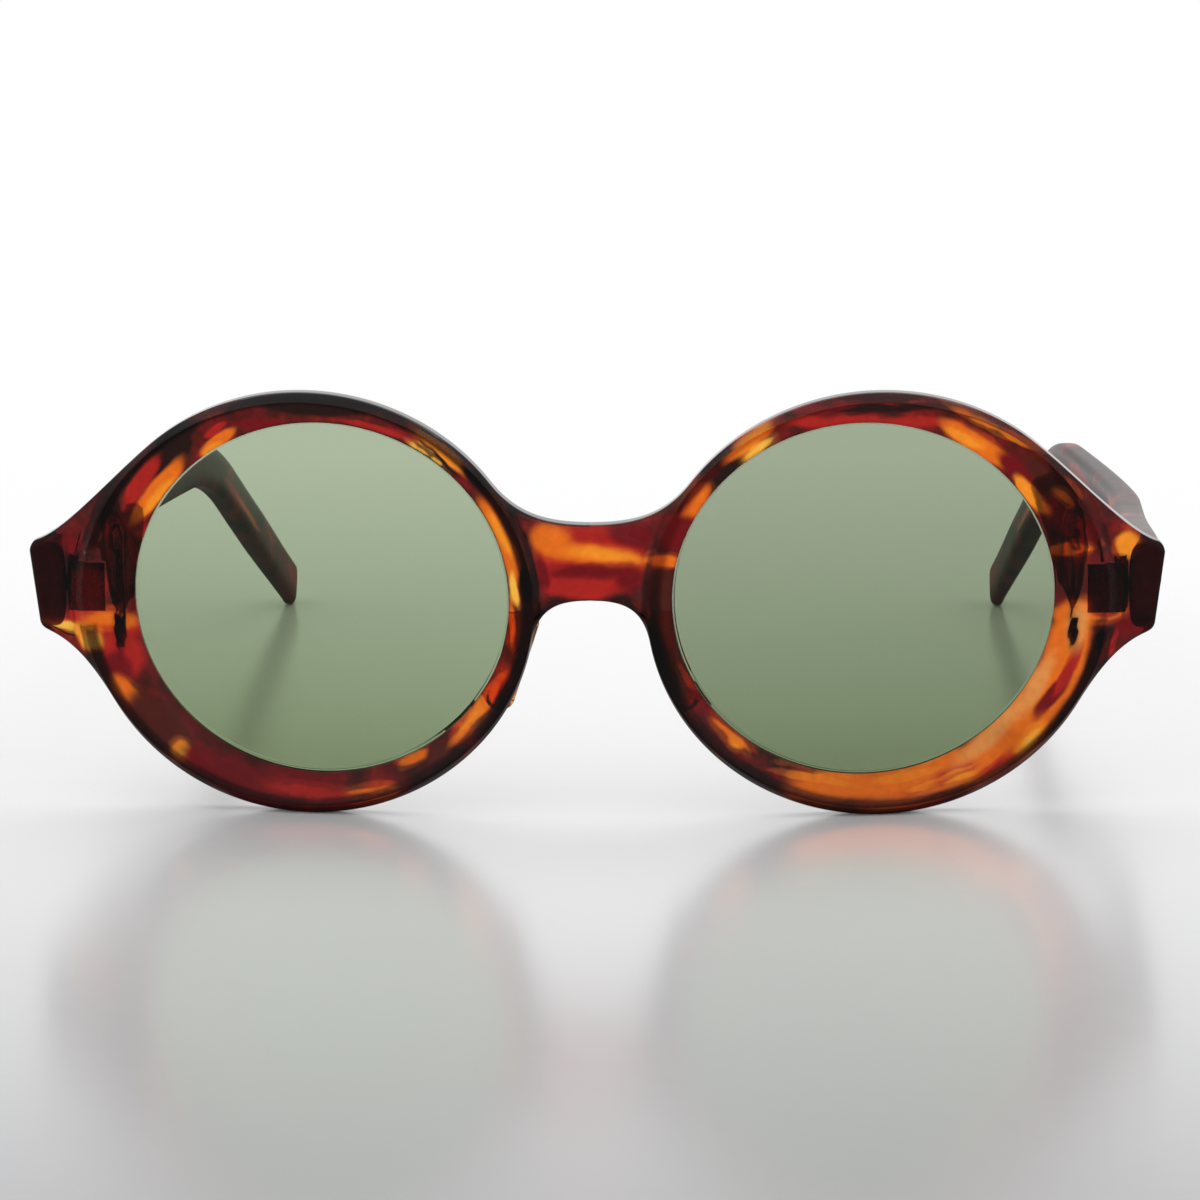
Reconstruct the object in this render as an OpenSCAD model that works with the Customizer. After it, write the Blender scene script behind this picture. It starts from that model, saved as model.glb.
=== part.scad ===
// Round sunglasses: a wrapped plastic front with two lenses and two folding temples.
// X runs across the face, Y from the front to the ears, Z up. The part stands on its
// lower rims and its temple tips. Left is the wearer's left, at +X.

/* [Lenses] */
// Visible width of a lens
lens_w = 46.4; // [42:0.2:49]
// Visible height of a lens
lens_h = 43.2; // [40:0.2:46]
// Distance between the lenses across the nose
lens_gap = 19.8; // [16:0.2:24]
// Thickness of a lens
lens_t = 2; // [1.4:0.1:2.2]
// How far the edge of a lens reaches into its groove
lens_seat = 0.75; // [0.4:0.05:1]

/* [Front] */
// Width over the endpieces
front_w = 140; // [134:1:148]
// Thickness of the front
front_t = 4; // [3.8:0.1:5]
// Radius of the curve that wraps the front round the face
wrap_r = 225; // [180:5:300]
// Rim width on the nose side of a lens
rim_nose = 3.1; // [2.4:0.1:4]
// Rim width on the ear side of a lens
rim_ear = 6.8; // [5:0.1:8]
// Rim width above a lens
rim_top = 3.6; // [3:0.1:6]
// Rim width below a lens
rim_bottom = 5.2; // [3:0.1:7]
// Inset of the crest line from the edge, at the top and bottom of a rim
crest_inset = 1.15; // [0.6:0.05:1.6]
// Fall of the rim face from the crest to the lens
lip_fall = 0.85; // [0.3:0.05:1]
// Fall of the bevel from the crest to the outer edge
bevel_fall = 1.3; // [0.6:0.1:1.8]
// Depth of the hollow between the crests, on the bridge and the endpieces
hollow_fall = 0.8; // [0.2:0.1:1.2]

/* [Bridge] */
// Height of the bridge at its middle
bridge_h = 9.3; // [7:0.1:12]
// Top of the bridge above the middle of the lenses
bridge_rise = 9.4; // [7:0.1:11]

/* [Endpieces] */
// Height of an endpiece at its outer side
end_h = 10.4; // [9:0.1:12]
// Middle of the endpieces above the middle of the lenses
end_rise = 0; // [-1.5:0.1:1.5]
// How much further out the top corner reaches than the bottom corner
end_lean = 1.4; // [0:0.1:2.4]
// Depth of an endpiece behind its outer corner
end_t = 3; // [2.4:0.1:4]

/* [Temples] */
// Length of a temple along the head, before the drop
shaft_l = 92; // [80:1:100]
// Length over which a temple runs straight back, before it bows inward
straight_l = 50; // [40:1:70]
// Thickness of a temple at its hinge
temple_t = 4.2; // [3.8:0.1:4.8]
// Thickness of a temple behind the ear
drop_t = 3.2; // [2.8:0.1:4.2]
// Thickness of a temple at its tip
tip_t = 2.2; // [1.8:0.1:3.2]
// Height of a temple at the slim part of its shaft
shaft_h = 6; // [5:0.1:8]
// Height of a temple behind the ear
drop_h = 6.2; // [5.5:0.1:8]
// Radius of the bend over the ear
ear_r = 30; // [24:1:40]
// Angle of the drop behind the ear
drop_angle = 36; // [32:1:50]
// How far a temple bows inward by its tip
temple_bow = 15.5; // [10:0.5:18]

/* [Hinges] */
// Radius of the hinge barrels
barrel_r = 1.25; // [1.1:0.05:1.4]
// Height of one knuckle
knuckle_h = 2; // [1.6:0.1:2.4]
// Radius of a hinge screw
screw_r = 0.65; // [0.5:0.05:0.8]
// Radius of a screw head
screw_head_r = 1.1; // [0.95:0.05:1.2]
// Height of a screw head
screw_head_h = 0.6; // [0.4:0.1:0.8]
// Width of the leaf sunk in an endpiece
front_leaf_w = 4.6; // [4:0.1:5]
// Depth of the leaf sunk in an endpiece
front_leaf_t = 2; // [1.4:0.1:2.2]
// Length of the leaf on a temple
temple_leaf_l = 12; // [11:0.5:14]
// Height of the leaf on a temple
temple_leaf_h = 4.6; // [4:0.1:5]
// Thickness of the leaf on a temple
temple_leaf_t = 1.2; // [1:0.1:1.4]
// Radius of a rivet shank
rivet_r = 0.6; // [0.5:0.05:0.8]
// Radius of a rivet head
rivet_head_r = 1.5; // [1.2:0.1:1.8]
// Height of a rivet head
rivet_head_h = 0.45; // [0.3:0.05:0.6]
// Distance between the rivets
rivet_pitch = 5; // [4:0.1:6]
// Radius of the wire in a temple
core_r = 0.8; // [0.6:0.1:0.9]
// Length of the wire in a temple
core_l = 84; // [60:1:90]

/* [Nose pads] */
// Length of a nose pad
pad_l = 13; // [10:0.5:15]
// Radius of a nose pad's round face
pad_r = 1.6; // [1.4:0.1:2]
// How far a nose pad stands behind the front
pad_out = 2.6; // [2:0.1:2.7]

/* [Clearances] */
// Running clearance of a screw in its knuckles
screw_clear = 0.05; // [0.03:0.01:0.08]
// Gap between two knuckles
knuckle_clear = 0.05; // [0.02:0.01:0.1]
// Gap between a lens and its groove
lens_clear = 0.08; // [0.05:0.01:0.15]
// Gap round a sunk leaf, wire or rivet
sunk_clear = 0.03; // [0.02:0.01:0.06]
// Gap between a temple and its endpiece when open
temple_clear = 0.15; // [0.1:0.05:0.3]
// Gap between a hinge barrel and the plastic
barrel_clear = 0.3; // [0.3:0.05:0.5]

/* [Hidden] */

// Lens and rim ovals, as half sizes about their centres
lens_x = (lens_gap + lens_w) / 2;
lens_z = rim_bottom + lens_h / 2;
rim_in = lens_gap / 2 - rim_nose;
rim_out = lens_gap / 2 + lens_w + rim_ear;
rim_x = (rim_in + rim_out) / 2;
rim_a = (rim_out - rim_in) / 2;
rim_c = (lens_h + rim_top + rim_bottom) / 2;
crest_side = 0.15;

// Steps along the outline's curves and arcs, and round a cylinder as wide as the face
curve_steps = 8;
corner_steps = 3;
arc_step = 6;
wrap_steps = 360;
big = 200;

// Angles on the rim oval where the outline leaves it for the endpiece and the bridge
end_top_angle = 48;
bridge_top_angle = 144;
arch_angle = 190;
end_bottom_angle = 330;

function wrap(x) = wrap_r - sqrt(wrap_r * wrap_r - x * x);
function oval(cx, cz, a, c, t) = [cx + a * cos(t), cz + c * sin(t)];
function rim(t) = oval(rim_x, rim_c, rim_a, rim_c, t);
function rim_way(t) = let (v = [-rim_a * sin(t), rim_c * cos(t)]) v / norm(v);
function bezier(p, way_p, q, way_q, t) = let (u = 1 - t)
    u * u * u * p + 3 * u * u * t * (p + way_p) + 3 * u * t * t * (q - way_q) + t * t * t * q;
function curve(p, way_p, q, way_q, n) = [for (k = [0 : n - 1]) bezier(p, way_p, q, way_q, k / n)];
function arc(t0, t1) = let (n = ceil((t1 - t0) / arc_step))
    [for (k = [0 : n - 1]) rim(t0 + (t1 - t0) * k / n)];
function blend(p, q, t) = p + (q - p) * t;
function smooth(t) = let (u = min(1, max(0, t))) u * u * (3 - 2 * u);
function left_of(v) = [-v[1], v[0]] / norm(v);

// Heights of the endpieces and the bridge
hinge_z = lens_z + end_rise;
end_x = front_w / 2;
end_top_z = hinge_z + end_h / 2;
end_low_z = hinge_z - end_h / 2;
bridge_top_z = lens_z + bridge_rise;
bridge_low_z = bridge_top_z - bridge_h;
bridge_z = (bridge_top_z + bridge_low_z) / 2;

// Ways in which the outline leaves an endpiece, the radius of its corners and how far, as a
// share of it, the top and bottom corners stand proud
end_top_way = [-0.95, 0.31];
end_low_way = [0.93, 0.37];
end_corner = 1;
top_proud = 0.5;
low_proud = 0.35;
side_way = [end_lean, end_h] / norm([end_lean, end_h]);

// Points on the outline where its curves join
top_corner = [end_x - end_corner, end_top_z + top_proud * end_corner];
top_side = [end_x, end_top_z] - side_way * end_corner;
low_side = [end_x - end_lean, end_low_z] + side_way * end_corner;
low_corner = [end_x - end_lean - end_corner, end_low_z - low_proud * end_corner];
bridge_top = [0, bridge_top_z];
bridge_low = [0, bridge_low_z];

// Outline of the left half of the front, once round its rim, against the clock
outline = concat(
    curve(top_corner, end_top_way * 4, rim(end_top_angle), rim_way(end_top_angle) * 7,
        curve_steps),
    arc(end_top_angle, bridge_top_angle),
    curve(rim(bridge_top_angle), rim_way(bridge_top_angle) * 4.6, bridge_top, [-6.2, 0],
        curve_steps),
    [for (t = [0, 0.1, 0.37, 0.63, 0.9]) blend(bridge_top, bridge_low, t)],
    curve(bridge_low, [4.7, 0], rim(arch_angle), rim_way(arch_angle) * 4, curve_steps),
    arc(arch_angle, end_bottom_angle),
    curve(rim(end_bottom_angle), rim_way(end_bottom_angle) * 5, low_corner,
        end_low_way * 3.5, curve_steps),
    curve(low_corner, end_low_way * end_corner, low_side, side_way * end_corner / 2,
        corner_steps),
    curve(low_side, side_way * 2, top_side, side_way * 2, corner_steps),
    curve(top_side, side_way * end_corner / 2, top_corner, end_top_way * end_corner / 2,
        corner_steps));
count = len(outline);

// Depth of the lens in its rim, a little behind the middle
lens_set = 0.25;
lens_fall = (front_t - lens_t) / 2 + lens_set;
lens_back = lens_fall + lens_t;
lens_edge = lens_x + lens_w / 2 + lens_seat;

// Depth of the joint faces behind the front's foremost line: an endpiece's depth behind its
// outer corner, with a wall between the sunk leaf and the lens
leaf_wall = 0.3;
joint_fall = max(wrap(end_x) + end_t, wrap(lens_edge) + lens_back + leaf_wall + front_leaf_t);

// Places in depth. The front's foremost line and the temple tips set the middle of Y.
drop_l = (hinge_z - drop_h / 2 - ear_r * (1 - cos(drop_angle))) / sin(drop_angle);
bend_l = ear_r * drop_angle * PI / 180;
temple_l = shaft_l + bend_l + drop_l;
temple_run = shaft_l + ear_r * sin(drop_angle) + drop_l * cos(drop_angle) + drop_h / 2;
overall_d = joint_fall + temple_clear + temple_run;
apex_y = -overall_d / 2;
joint_y = apex_y + joint_fall;
temple_y = joint_y + temple_clear;

// Hinge places. Each setback is measured along the temple from what lies ahead of it.
barrel_set = 0.2;
leaf_setback = 0.8;
rivet_setback = 3.5;
core_setback = 3;
temple_in = end_x - end_lean / 2 - temple_t;
axis_x = temple_in - barrel_clear - barrel_r;
axis_y = joint_y + barrel_set + barrel_r;
leaf_edge = axis_x + barrel_r;
leaf_low_z = hinge_z - 1.5 * knuckle_h;
temple_leaf_y = temple_y + leaf_setback;
rivet_y = temple_leaf_y + rivet_setback;
core_y = temple_leaf_y + temple_leaf_l + core_setback;

// Depth of the front's back face: it steps back to a flat that carries the hinge leaf,
// over the height of the endpiece, and fades out above and below it
knee_w = 3.05;
knee_to = leaf_edge - front_leaf_w;
knee_from = knee_to - knee_w;
knee_fade = 7;
function back(p) = blend(apex_y + wrap(p[0]) + front_t, joint_y,
    smooth((p[0] - knee_from) / (knee_to - knee_from))
    * (1 - smooth((abs(p[1] - hinge_z) - end_h / 2) / knee_fade)));
function face(p, fall) = [p[0], apex_y + wrap(p[0]) + fall, p[1]];
function rear(p, ahead) = [p[0], back(p) - ahead, p[1]];

// Rounding of the rear edge, and the chamfer beside the lens
edge_round = 0.5;
lens_chamfer = 0.35;

// Points over the rim's face, as the share of the way from lens to crest and the share of
// the fall, and over its back, as the share of the way from the lens to the edge
lip_steps = [[0, 1], [0.12, 0.72], [0.45, 0.35], [0.85, 0.05]];
back_steps = [0.8, 0.6, 0.42, 0.28, 0.19, 0.1];

// The ring of points round the rim's section at outline point i: along the face from the
// lens to the crest, over the bevel or hollow, round the edge, along the back, and into
// the lens groove
function section(i) = let (
        o = outline[i],
        axis = o[0] < 0.001,
        inner = axis && abs(o[1] - bridge_z) < bridge_h / 2 - 0.01,
        t = atan2((o[1] - rim_c) / rim_c, (o[0] - rim_x) / rim_a),
        l = oval(lens_x, lens_z, lens_w / 2, lens_h / 2, t),
        g = oval(lens_x, lens_z, lens_w / 2 + lens_seat + lens_clear,
            lens_h / 2 + lens_seat + lens_clear, t),
        c = oval(rim_x, rim_c, rim_a - crest_side, rim_c - crest_inset, t),
        span = norm(o - c),
        open = smooth((span - 1.5) / 2.5),
        way = left_of(outline[(i + 1) % count] - outline[(i + count - 1) % count]),
        near = blend(c, o, min(0.35, 1.2 / span)),
        edge = blend(blend(c, o, 0.75), axis ? o + [0.9, 0] : o + way * 0.9, open),
        lip = inner ? o : axis ? o + [0, (o[1] > bridge_z ? -1 : 1) * edge_round]
            : o + way * edge_round)
    [for (k = lip_steps) face(blend(l, c, k[0]), lip_fall * k[1]),
        face(c, 0),
        face(near, blend(bevel_fall * 0.35, hollow_fall, open)),
        face(edge, blend(bevel_fall * 0.75, hollow_fall, open)),
        face(o, inner ? hollow_fall : bevel_fall),
        rear(o, edge_round),
        rear(lip, 0),
        for (k = back_steps) rear(blend(l, lip, k), 0),
        face(l, front_t - lens_chamfer),
        face(l, lens_back + lens_clear),
        face(g, lens_back + lens_clear),
        face(g, lens_fall - lens_clear),
        face(l, lens_fall - lens_clear)];

sections = [for (i = [0 : count - 1]) section(i)];
rings = len(sections[0]);
edge_ring = len(lip_steps) + 3;
function on_axis(i) = outline[i][0] < 0.001;
function mirrored(p) = [-p[0], p[1], p[2]];

// Number of a point of the front: the two halves share the points on the middle line
function place(half, r, i) = let (ring = (r + rings) % rings, k = i % count)
    (half == 1 && on_axis(k) && ring >= edge_ring && ring <= edge_ring + 2 ? 0 : half * count * rings)
    + k * rings + ring;
function is_wall(r, i) = r >= edge_ring && r < edge_ring + 2 && on_axis(i) && on_axis((i + 1) % count);

module front_body() {
    points = concat([for (s = sections) each s], [for (s = sections) for (p = s) mirrored(p)]);
    faces = [for (half = [0, 1], i = [0 : count - 1], r = [0 : rings - 1])
        if (!is_wall(r, i))
            let (a = place(half, r, i), b = place(half, r, i + 1),
                c = place(half, r + 1, i + 1), d = place(half, r + 1, i))
            each (half == 0 ? [[a, b, c], [a, c, d]] : [[a, c, b], [a, d, c]])];
    polyhedron(points, faces);
}

module frame_front() {
    color([0.45, 0.12, 0.04])
        difference() {
            front_body();
            for (side = [0, 1])
                mirror([side, 0, 0])
                    translate([knee_to - sunk_clear, joint_y - front_leaf_t - sunk_clear,
                        leaf_low_z - sunk_clear])
                        cube([front_leaf_w + 2 * sunk_clear, 2 * front_leaf_t,
                            3 * knuckle_h + 2 * sunk_clear]);
        }
}

module lens() {
    color([0.55, 0.62, 0.5, 0.6])
        intersection() {
            difference() {
                translate([0, apex_y + lens_fall + wrap_r, -big / 4])
                    cylinder(r = wrap_r, h = big, $fn = wrap_steps);
                translate([0, apex_y + lens_back + wrap_r, -big / 4 - 1])
                    cylinder(r = wrap_r, h = big + 2, $fn = wrap_steps);
            }
            translate([0, apex_y + front_w / 4, 0])
                rotate([90, 0, 0])
                    linear_extrude(height = front_w / 3)
                        polygon([for (t = [0 : 4 : 356])
                            oval(lens_x, lens_z, lens_w / 2 + lens_seat, lens_h / 2 + lens_seat, t)]);
        }
}

// A nose pad: a round-ended bar along the rim beside the nose, flat against its back
pad_angle = 197;
pad_set = 0.05;
module nose_pad() {
    way = rim_way(pad_angle);
    middle = rim(pad_angle) + left_of(way) * (pad_r + pad_set);
    reach = pad_l / 2 - pad_r;
    color([0.4, 0.1, 0.04])
        intersection() {
            translate([middle[0], apex_y + wrap(middle[0]) + front_t + pad_out - pad_r, middle[1]])
                rotate([0, atan2(way[0], way[1]), 0])
                    rotate_extrude($fn = 64)
                        polygon(concat([for (t = [-90 : 15 : 0]) [pad_r * cos(t), pad_r * sin(t) - reach]],
                            [for (t = [0 : 15 : 90]) [pad_r * cos(t), pad_r * sin(t) + reach]]));
            translate([0, apex_y + front_t + sunk_clear + wrap_r, -1])
                cylinder(r = wrap_r, h = big, $fn = wrap_steps);
        }
}

// One knuckle of a hinge, from its low end, solid: the bore is cut with the whole leaf
module knuckle(low, high) {
    translate([axis_x, axis_y, low])
        cylinder(r = barrel_r, h = high - low, $fn = 48);
}

module screw_bore() {
    translate([axis_x, axis_y, leaf_low_z - 1])
        cylinder(r = screw_r + screw_clear, h = 3 * knuckle_h + 2, $fn = 48);
}

module hinge_front_leaf() {
    color([0.75, 0.72, 0.66])
        difference() {
            union() {
                translate([knee_to, joint_y - front_leaf_t, leaf_low_z])
                    cube([front_leaf_w, front_leaf_t, 3 * knuckle_h]);
                for (low = [leaf_low_z, leaf_low_z + 2 * knuckle_h]) {
                    knuckle(low, low + knuckle_h);
                    translate([axis_x - 0.8 * barrel_r, joint_y - 0.5 * front_leaf_t, low])
                        cube([1.1 * barrel_r, axis_y - joint_y + 0.5 * front_leaf_t, knuckle_h]);
                }
            }
            screw_bore();
        }
}

module hinge_screw() {
    slot_w = 0.3;
    head_z = leaf_low_z + 3 * knuckle_h;
    color([0.8, 0.78, 0.74])
        difference() {
            union() {
                translate([axis_x, axis_y, leaf_low_z])
                    cylinder(r = screw_r, h = 3 * knuckle_h + screw_head_h / 2, $fn = 48);
                translate([axis_x, axis_y, head_z])
                    cylinder(r = screw_head_r, h = screw_head_h, $fn = 48);
            }
            translate([axis_x - slot_w / 2, axis_y - 2 * screw_head_r, head_z + screw_head_h / 2])
                cube([slot_w, 4 * screw_head_r, screw_head_h]);
        }
}

module hinge_temple_leaf() {
    low = leaf_low_z + knuckle_h + knuckle_clear;
    high = leaf_low_z + 2 * knuckle_h - knuckle_clear;
    color([0.75, 0.72, 0.66])
        difference() {
            union() {
                temple_leaf_plate(0);
                knuckle(low, high);
                translate([axis_x, temple_leaf_y, low])
                    cube([temple_in + temple_leaf_t / 2 - axis_x, 1.6 * barrel_r, high - low]);
            }
            screw_bore();
            rivet_holes();
        }
}

module temple_leaf_plate(gap) {
    translate([temple_in - gap, temple_leaf_y - gap, hinge_z - temple_leaf_h / 2 - gap])
        cube([temple_leaf_t + 2 * gap, temple_leaf_l + 2 * gap, temple_leaf_h + 2 * gap]);
}

module rivet_holes() {
    for (k = [0, 1])
        translate([temple_in - 1, rivet_y + k * rivet_pitch, hinge_z])
            rotate([0, 90, 0])
                cylinder(r = rivet_r + sunk_clear, h = temple_t + 2, $fn = 32);
}

// Depth of the counterbore that a rivet head sits in
head_sink = 0.35;
module rivet_seats() {
    for (k = [0, 1])
        translate([temple_in + temple_t - head_sink, rivet_y + k * rivet_pitch, hinge_z])
            rotate([0, 90, 0])
                cylinder(r = rivet_head_r + sunk_clear, h = temple_t, $fn = 32);
}

module temple_rivets() {
    dome = (rivet_head_r * rivet_head_r + rivet_head_h * rivet_head_h) / (2 * rivet_head_h);
    color([0.8, 0.78, 0.74])
        for (k = [0, 1])
            translate([temple_in, rivet_y + k * rivet_pitch, hinge_z])
                rotate([0, 90, 0]) {
                    cylinder(r = rivet_r, h = temple_t, $fn = 32);
                    translate([0, 0, temple_t - head_sink])
                        intersection() {
                            cylinder(r = rivet_head_r, h = 2 * head_sink + rivet_head_h, $fn = 32);
                            translate([0, 0, head_sink + rivet_head_h - dome])
                                sphere(r = dome, $fn = 64);
                        }
                }
}

// Lengths over which a temple tapers behind its hinge, grows towards the ear bend and thins
// to its tip, and how the bow inward gathers
taper_l = 42;
flare_l = 15;
thin_l = 18;
bow_power = 1.3;
core_from = core_y - temple_y;

// Middle line of a temple at length s: its place and its angle of drop
function temple_turn(s) = min(drop_angle, max(0, (s - shaft_l) / ear_r * 180 / PI));
function temple_mid(s) = let (a = temple_turn(s), d = max(0, s - shaft_l - bend_l),
        b = max(0, s - straight_l) / (temple_l - straight_l))
    [temple_in + temple_t / 2 - temple_bow * pow(b, bow_power),
        temple_y + min(s, shaft_l) + ear_r * sin(a) + d * cos(a),
        hinge_z - ear_r * (1 - cos(a)) - d * sin(a)];
function temple_height(s) = blend(blend(end_h, shaft_h, smooth(s / taper_l)), drop_h,
    smooth((s - shaft_l + flare_l) / (2 * flare_l)));
function temple_thick(s) = blend(blend(temple_t, drop_t, smooth((s - core_from) / shaft_l)), tip_t,
    smooth((s - temple_l + thin_l) / thin_l));

// A ring round the middle line: half sizes a across and h up, lean of the outer side
function around(s, a, h, lean, power, n) = let (m = temple_mid(s), turn = temple_turn(s))
    [for (k = [0 : n - 1]) let (t = 360 * (k + 0.5) / n,
            u = sign(cos(t)) * pow(abs(cos(t)), 2 / power),
            v = sign(sin(t)) * pow(abs(sin(t)), 2 / power) * h)
        m + [u * a + (u + 1) / 2 * lean * v, v * sin(turn), v * cos(turn)]];

module sweep(loops) {
    n = len(loops[0]);
    last = len(loops) - 1;
    points = [for (loop = loops) each loop];
    sides = [for (j = [0 : last - 1], k = [0 : n - 1]) let (a = j * n + k, b = j * n + (k + 1) % n)
        each [[a, b, b + n], [a, b + n, a + n]]];
    caps = [for (k = [1 : n - 2]) each [[0, k + 1, k], [last * n, last * n + k, last * n + k + 1]]];
    polyhedron(points, concat(sides, caps));
}

// A temple's section is a squared oval, which turns into a plain one round the tip
temple_power = 4;
temple_sides = 16;
module temple_body() {
    stops = concat([for (k = [0 : 6]) taper_l * k / 6],
        [for (k = [1 : 5]) blend(taper_l, shaft_l, k / 5)],
        [for (k = [1 : 8]) shaft_l + bend_l * k / 8],
        [for (k = [1 : 4]) shaft_l + bend_l + drop_l * k / 4]);
    body = [for (s = stops) around(s, temple_thick(s) / 2, temple_height(s) / 2,
        end_lean / end_h * (1 - smooth(s / taper_l)), temple_power, temple_sides)];
    tip = [for (t = [20, 40, 60, 80]) [for (p = around(temple_l, tip_t / 2 * cos(t),
        drop_h / 2 * cos(t), 0, temple_power - t / 40, temple_sides))
        p + [0, cos(drop_angle), -sin(drop_angle)] * drop_h / 2 * sin(t)]];
    sweep(concat(body, tip));
}

module core_sweep(r) {
    steps = 18;
    sweep([for (k = [0 : steps]) around(core_from + core_l * k / steps, r, r, 0, 2, 8)]);
}

module temple() {
    color([0.42, 0.11, 0.04])
        difference() {
            temple_body();
            temple_leaf_plate(sunk_clear);
            rivet_holes();
            rivet_seats();
            core_sweep(core_r + 1.5 * sunk_clear);
        }
}

module temple_core() {
    color([0.7, 0.68, 0.62]) core_sweep(core_r);
}

module right() {
    mirror([1, 0, 0]) children();
}

frame_front();
lens();  // lens_left
right() lens();  // lens_right
nose_pad();  // nose_pad_left
right() nose_pad();  // nose_pad_right
hinge_front_leaf();  // hinge_front_leaf_left
right() hinge_front_leaf();  // hinge_front_leaf_right
hinge_screw();  // hinge_screw_left
right() hinge_screw();  // hinge_screw_right
temple();  // temple_left
right() temple();  // temple_right
temple_core();  // temple_core_left
right() temple_core();  // temple_core_right
hinge_temple_leaf();  // hinge_temple_leaf_left
right() hinge_temple_leaf();  // hinge_temple_leaf_right
temple_rivets();  // temple_rivets_left
right() temple_rivets();  // temple_rivets_right
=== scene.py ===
"""Round tortoise sunglasses: polished plastic front and temples, green lenses and barrel hinges.

Lengths in the shape functions are millimetres. Meshes are made in metres, in the frame of the
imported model: X across the face, Y from the front to the ears, Z up.
"""

import math

import bmesh
import bpy
import numpy as np
from mathutils import Matrix, Vector


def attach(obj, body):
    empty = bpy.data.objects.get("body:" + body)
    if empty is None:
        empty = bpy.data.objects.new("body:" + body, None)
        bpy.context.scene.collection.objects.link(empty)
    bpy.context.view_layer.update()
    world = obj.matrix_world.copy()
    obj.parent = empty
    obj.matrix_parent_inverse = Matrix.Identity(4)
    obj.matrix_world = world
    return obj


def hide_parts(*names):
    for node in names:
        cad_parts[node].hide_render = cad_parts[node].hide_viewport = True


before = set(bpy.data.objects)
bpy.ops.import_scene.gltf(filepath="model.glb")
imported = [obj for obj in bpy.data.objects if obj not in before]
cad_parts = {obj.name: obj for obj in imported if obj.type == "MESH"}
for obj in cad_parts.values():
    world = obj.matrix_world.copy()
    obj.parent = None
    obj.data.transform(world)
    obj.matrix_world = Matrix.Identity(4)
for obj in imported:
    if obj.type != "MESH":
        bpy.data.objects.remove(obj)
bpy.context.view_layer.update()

MM = 0.001

# -------------------- sizes, as the solids have them
LENS_W, LENS_H, LENS_GAP, LENS_T = 46.4, 43.2, 19.8, 2.0
FRONT_W, FRONT_T, WRAP_R = 140.0, 4.0, 225.0
RIM_NOSE, RIM_EAR, RIM_TOP, RIM_BOTTOM = 3.1, 6.8, 3.6, 5.2
CREST_INSET, CREST_SIDE = 1.15, 0.15
LIP_FALL, BEVEL_FALL, HOLLOW_FALL = 0.85, 1.3, 0.8
BRIDGE_H, BRIDGE_RISE = 9.3, 9.4
END_H, END_LEAN, END_T = 10.4, 1.4, 3.0
END_CORNER, TOP_PROUD, LOW_PROUD = 1.0, 0.5, 0.35
SHAFT_L, STRAIGHT_L, TEMPLE_T, DROP_T, TIP_T = 92.0, 50.0, 4.2, 3.2, 2.2
SHAFT_H, DROP_H = 6.0, 6.2
EAR_R, DROP_ANGLE, TEMPLE_BOW, BOW_POWER = 30.0, math.radians(36), 15.5, 1.3
BARREL_R, KNUCKLE_H, BARREL_CLEAR = 1.25, 2.0, 0.3
FRONT_LEAF_W, FRONT_LEAF_T = 4.6, 2.0
TEMPLE_LEAF_L, TEMPLE_LEAF_H, TEMPLE_LEAF_T = 12.0, 4.6, 1.2
LEAF_SETBACK, CORE_SETBACK = 0.8, 3.0
PAD_L, PAD_R, PAD_OUT, PAD_ANGLE, PAD_SET = 13.0, 1.6, 2.6, math.radians(197), 0.05
LENS_GAP_SEEN, SUNK_CLEAR, TEMPLE_CLEAR = 0.02, 0.03, 0.15
TAPER_L, FLARE_L, THIN_L, KNEE_W, KNEE_FADE = 42.0, 15.0, 18.0, 3.05, 7.0
EDGE_ROUND, LENS_CHAMFER, LENS_BEVEL, LENS_SET = 0.5, 0.35, 0.2, 0.25

LENS_X = (LENS_GAP + LENS_W) / 2
LENS_Z = RIM_BOTTOM + LENS_H / 2
RIM_IN = LENS_GAP / 2 - RIM_NOSE
RIM_OUT = LENS_GAP / 2 + LENS_W + RIM_EAR
RIM_X, RIM_A = (RIM_IN + RIM_OUT) / 2, (RIM_OUT - RIM_IN) / 2
RIM_C = (LENS_H + RIM_TOP + RIM_BOTTOM) / 2
HINGE_Z = LENS_Z
END_X = FRONT_W / 2
END_TOP_Z, END_LOW_Z = HINGE_Z + END_H / 2, HINGE_Z - END_H / 2
BRIDGE_TOP_Z = LENS_Z + BRIDGE_RISE
BRIDGE_LOW_Z = BRIDGE_TOP_Z - BRIDGE_H


def wrap(x):
    """How far the front's curve falls back at x."""
    return WRAP_R - np.sqrt(WRAP_R**2 - np.asarray(x, float) ** 2)


def smooth(t):
    """An even step from 0 to 1, held at both ends."""
    u = np.clip(t, 0, 1)
    return u * u * (3 - 2 * u)


def unit(v):
    """A vector of the same way, 1 long."""
    v = np.asarray(v, float)
    return v / np.linalg.norm(v)


DROP_L = (HINGE_Z - DROP_H / 2 - EAR_R * (1 - math.cos(DROP_ANGLE))) / math.sin(DROP_ANGLE)
BEND_L = EAR_R * DROP_ANGLE
TEMPLE_L = SHAFT_L + BEND_L + DROP_L
TEMPLE_RUN = SHAFT_L + EAR_R * math.sin(DROP_ANGLE) + DROP_L * math.cos(DROP_ANGLE) + DROP_H / 2
APEX_Y = -(float(wrap(END_X)) + END_T + TEMPLE_CLEAR + TEMPLE_RUN) / 2
JOINT_Y = APEX_Y + float(wrap(END_X)) + END_T
TEMPLE_Y = JOINT_Y + TEMPLE_CLEAR
TEMPLE_IN = END_X - END_LEAN / 2 - TEMPLE_T
AXIS_X = TEMPLE_IN - BARREL_CLEAR - BARREL_R
LEAF_LOW_Z = HINGE_Z - 1.5 * KNUCKLE_H
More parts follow.
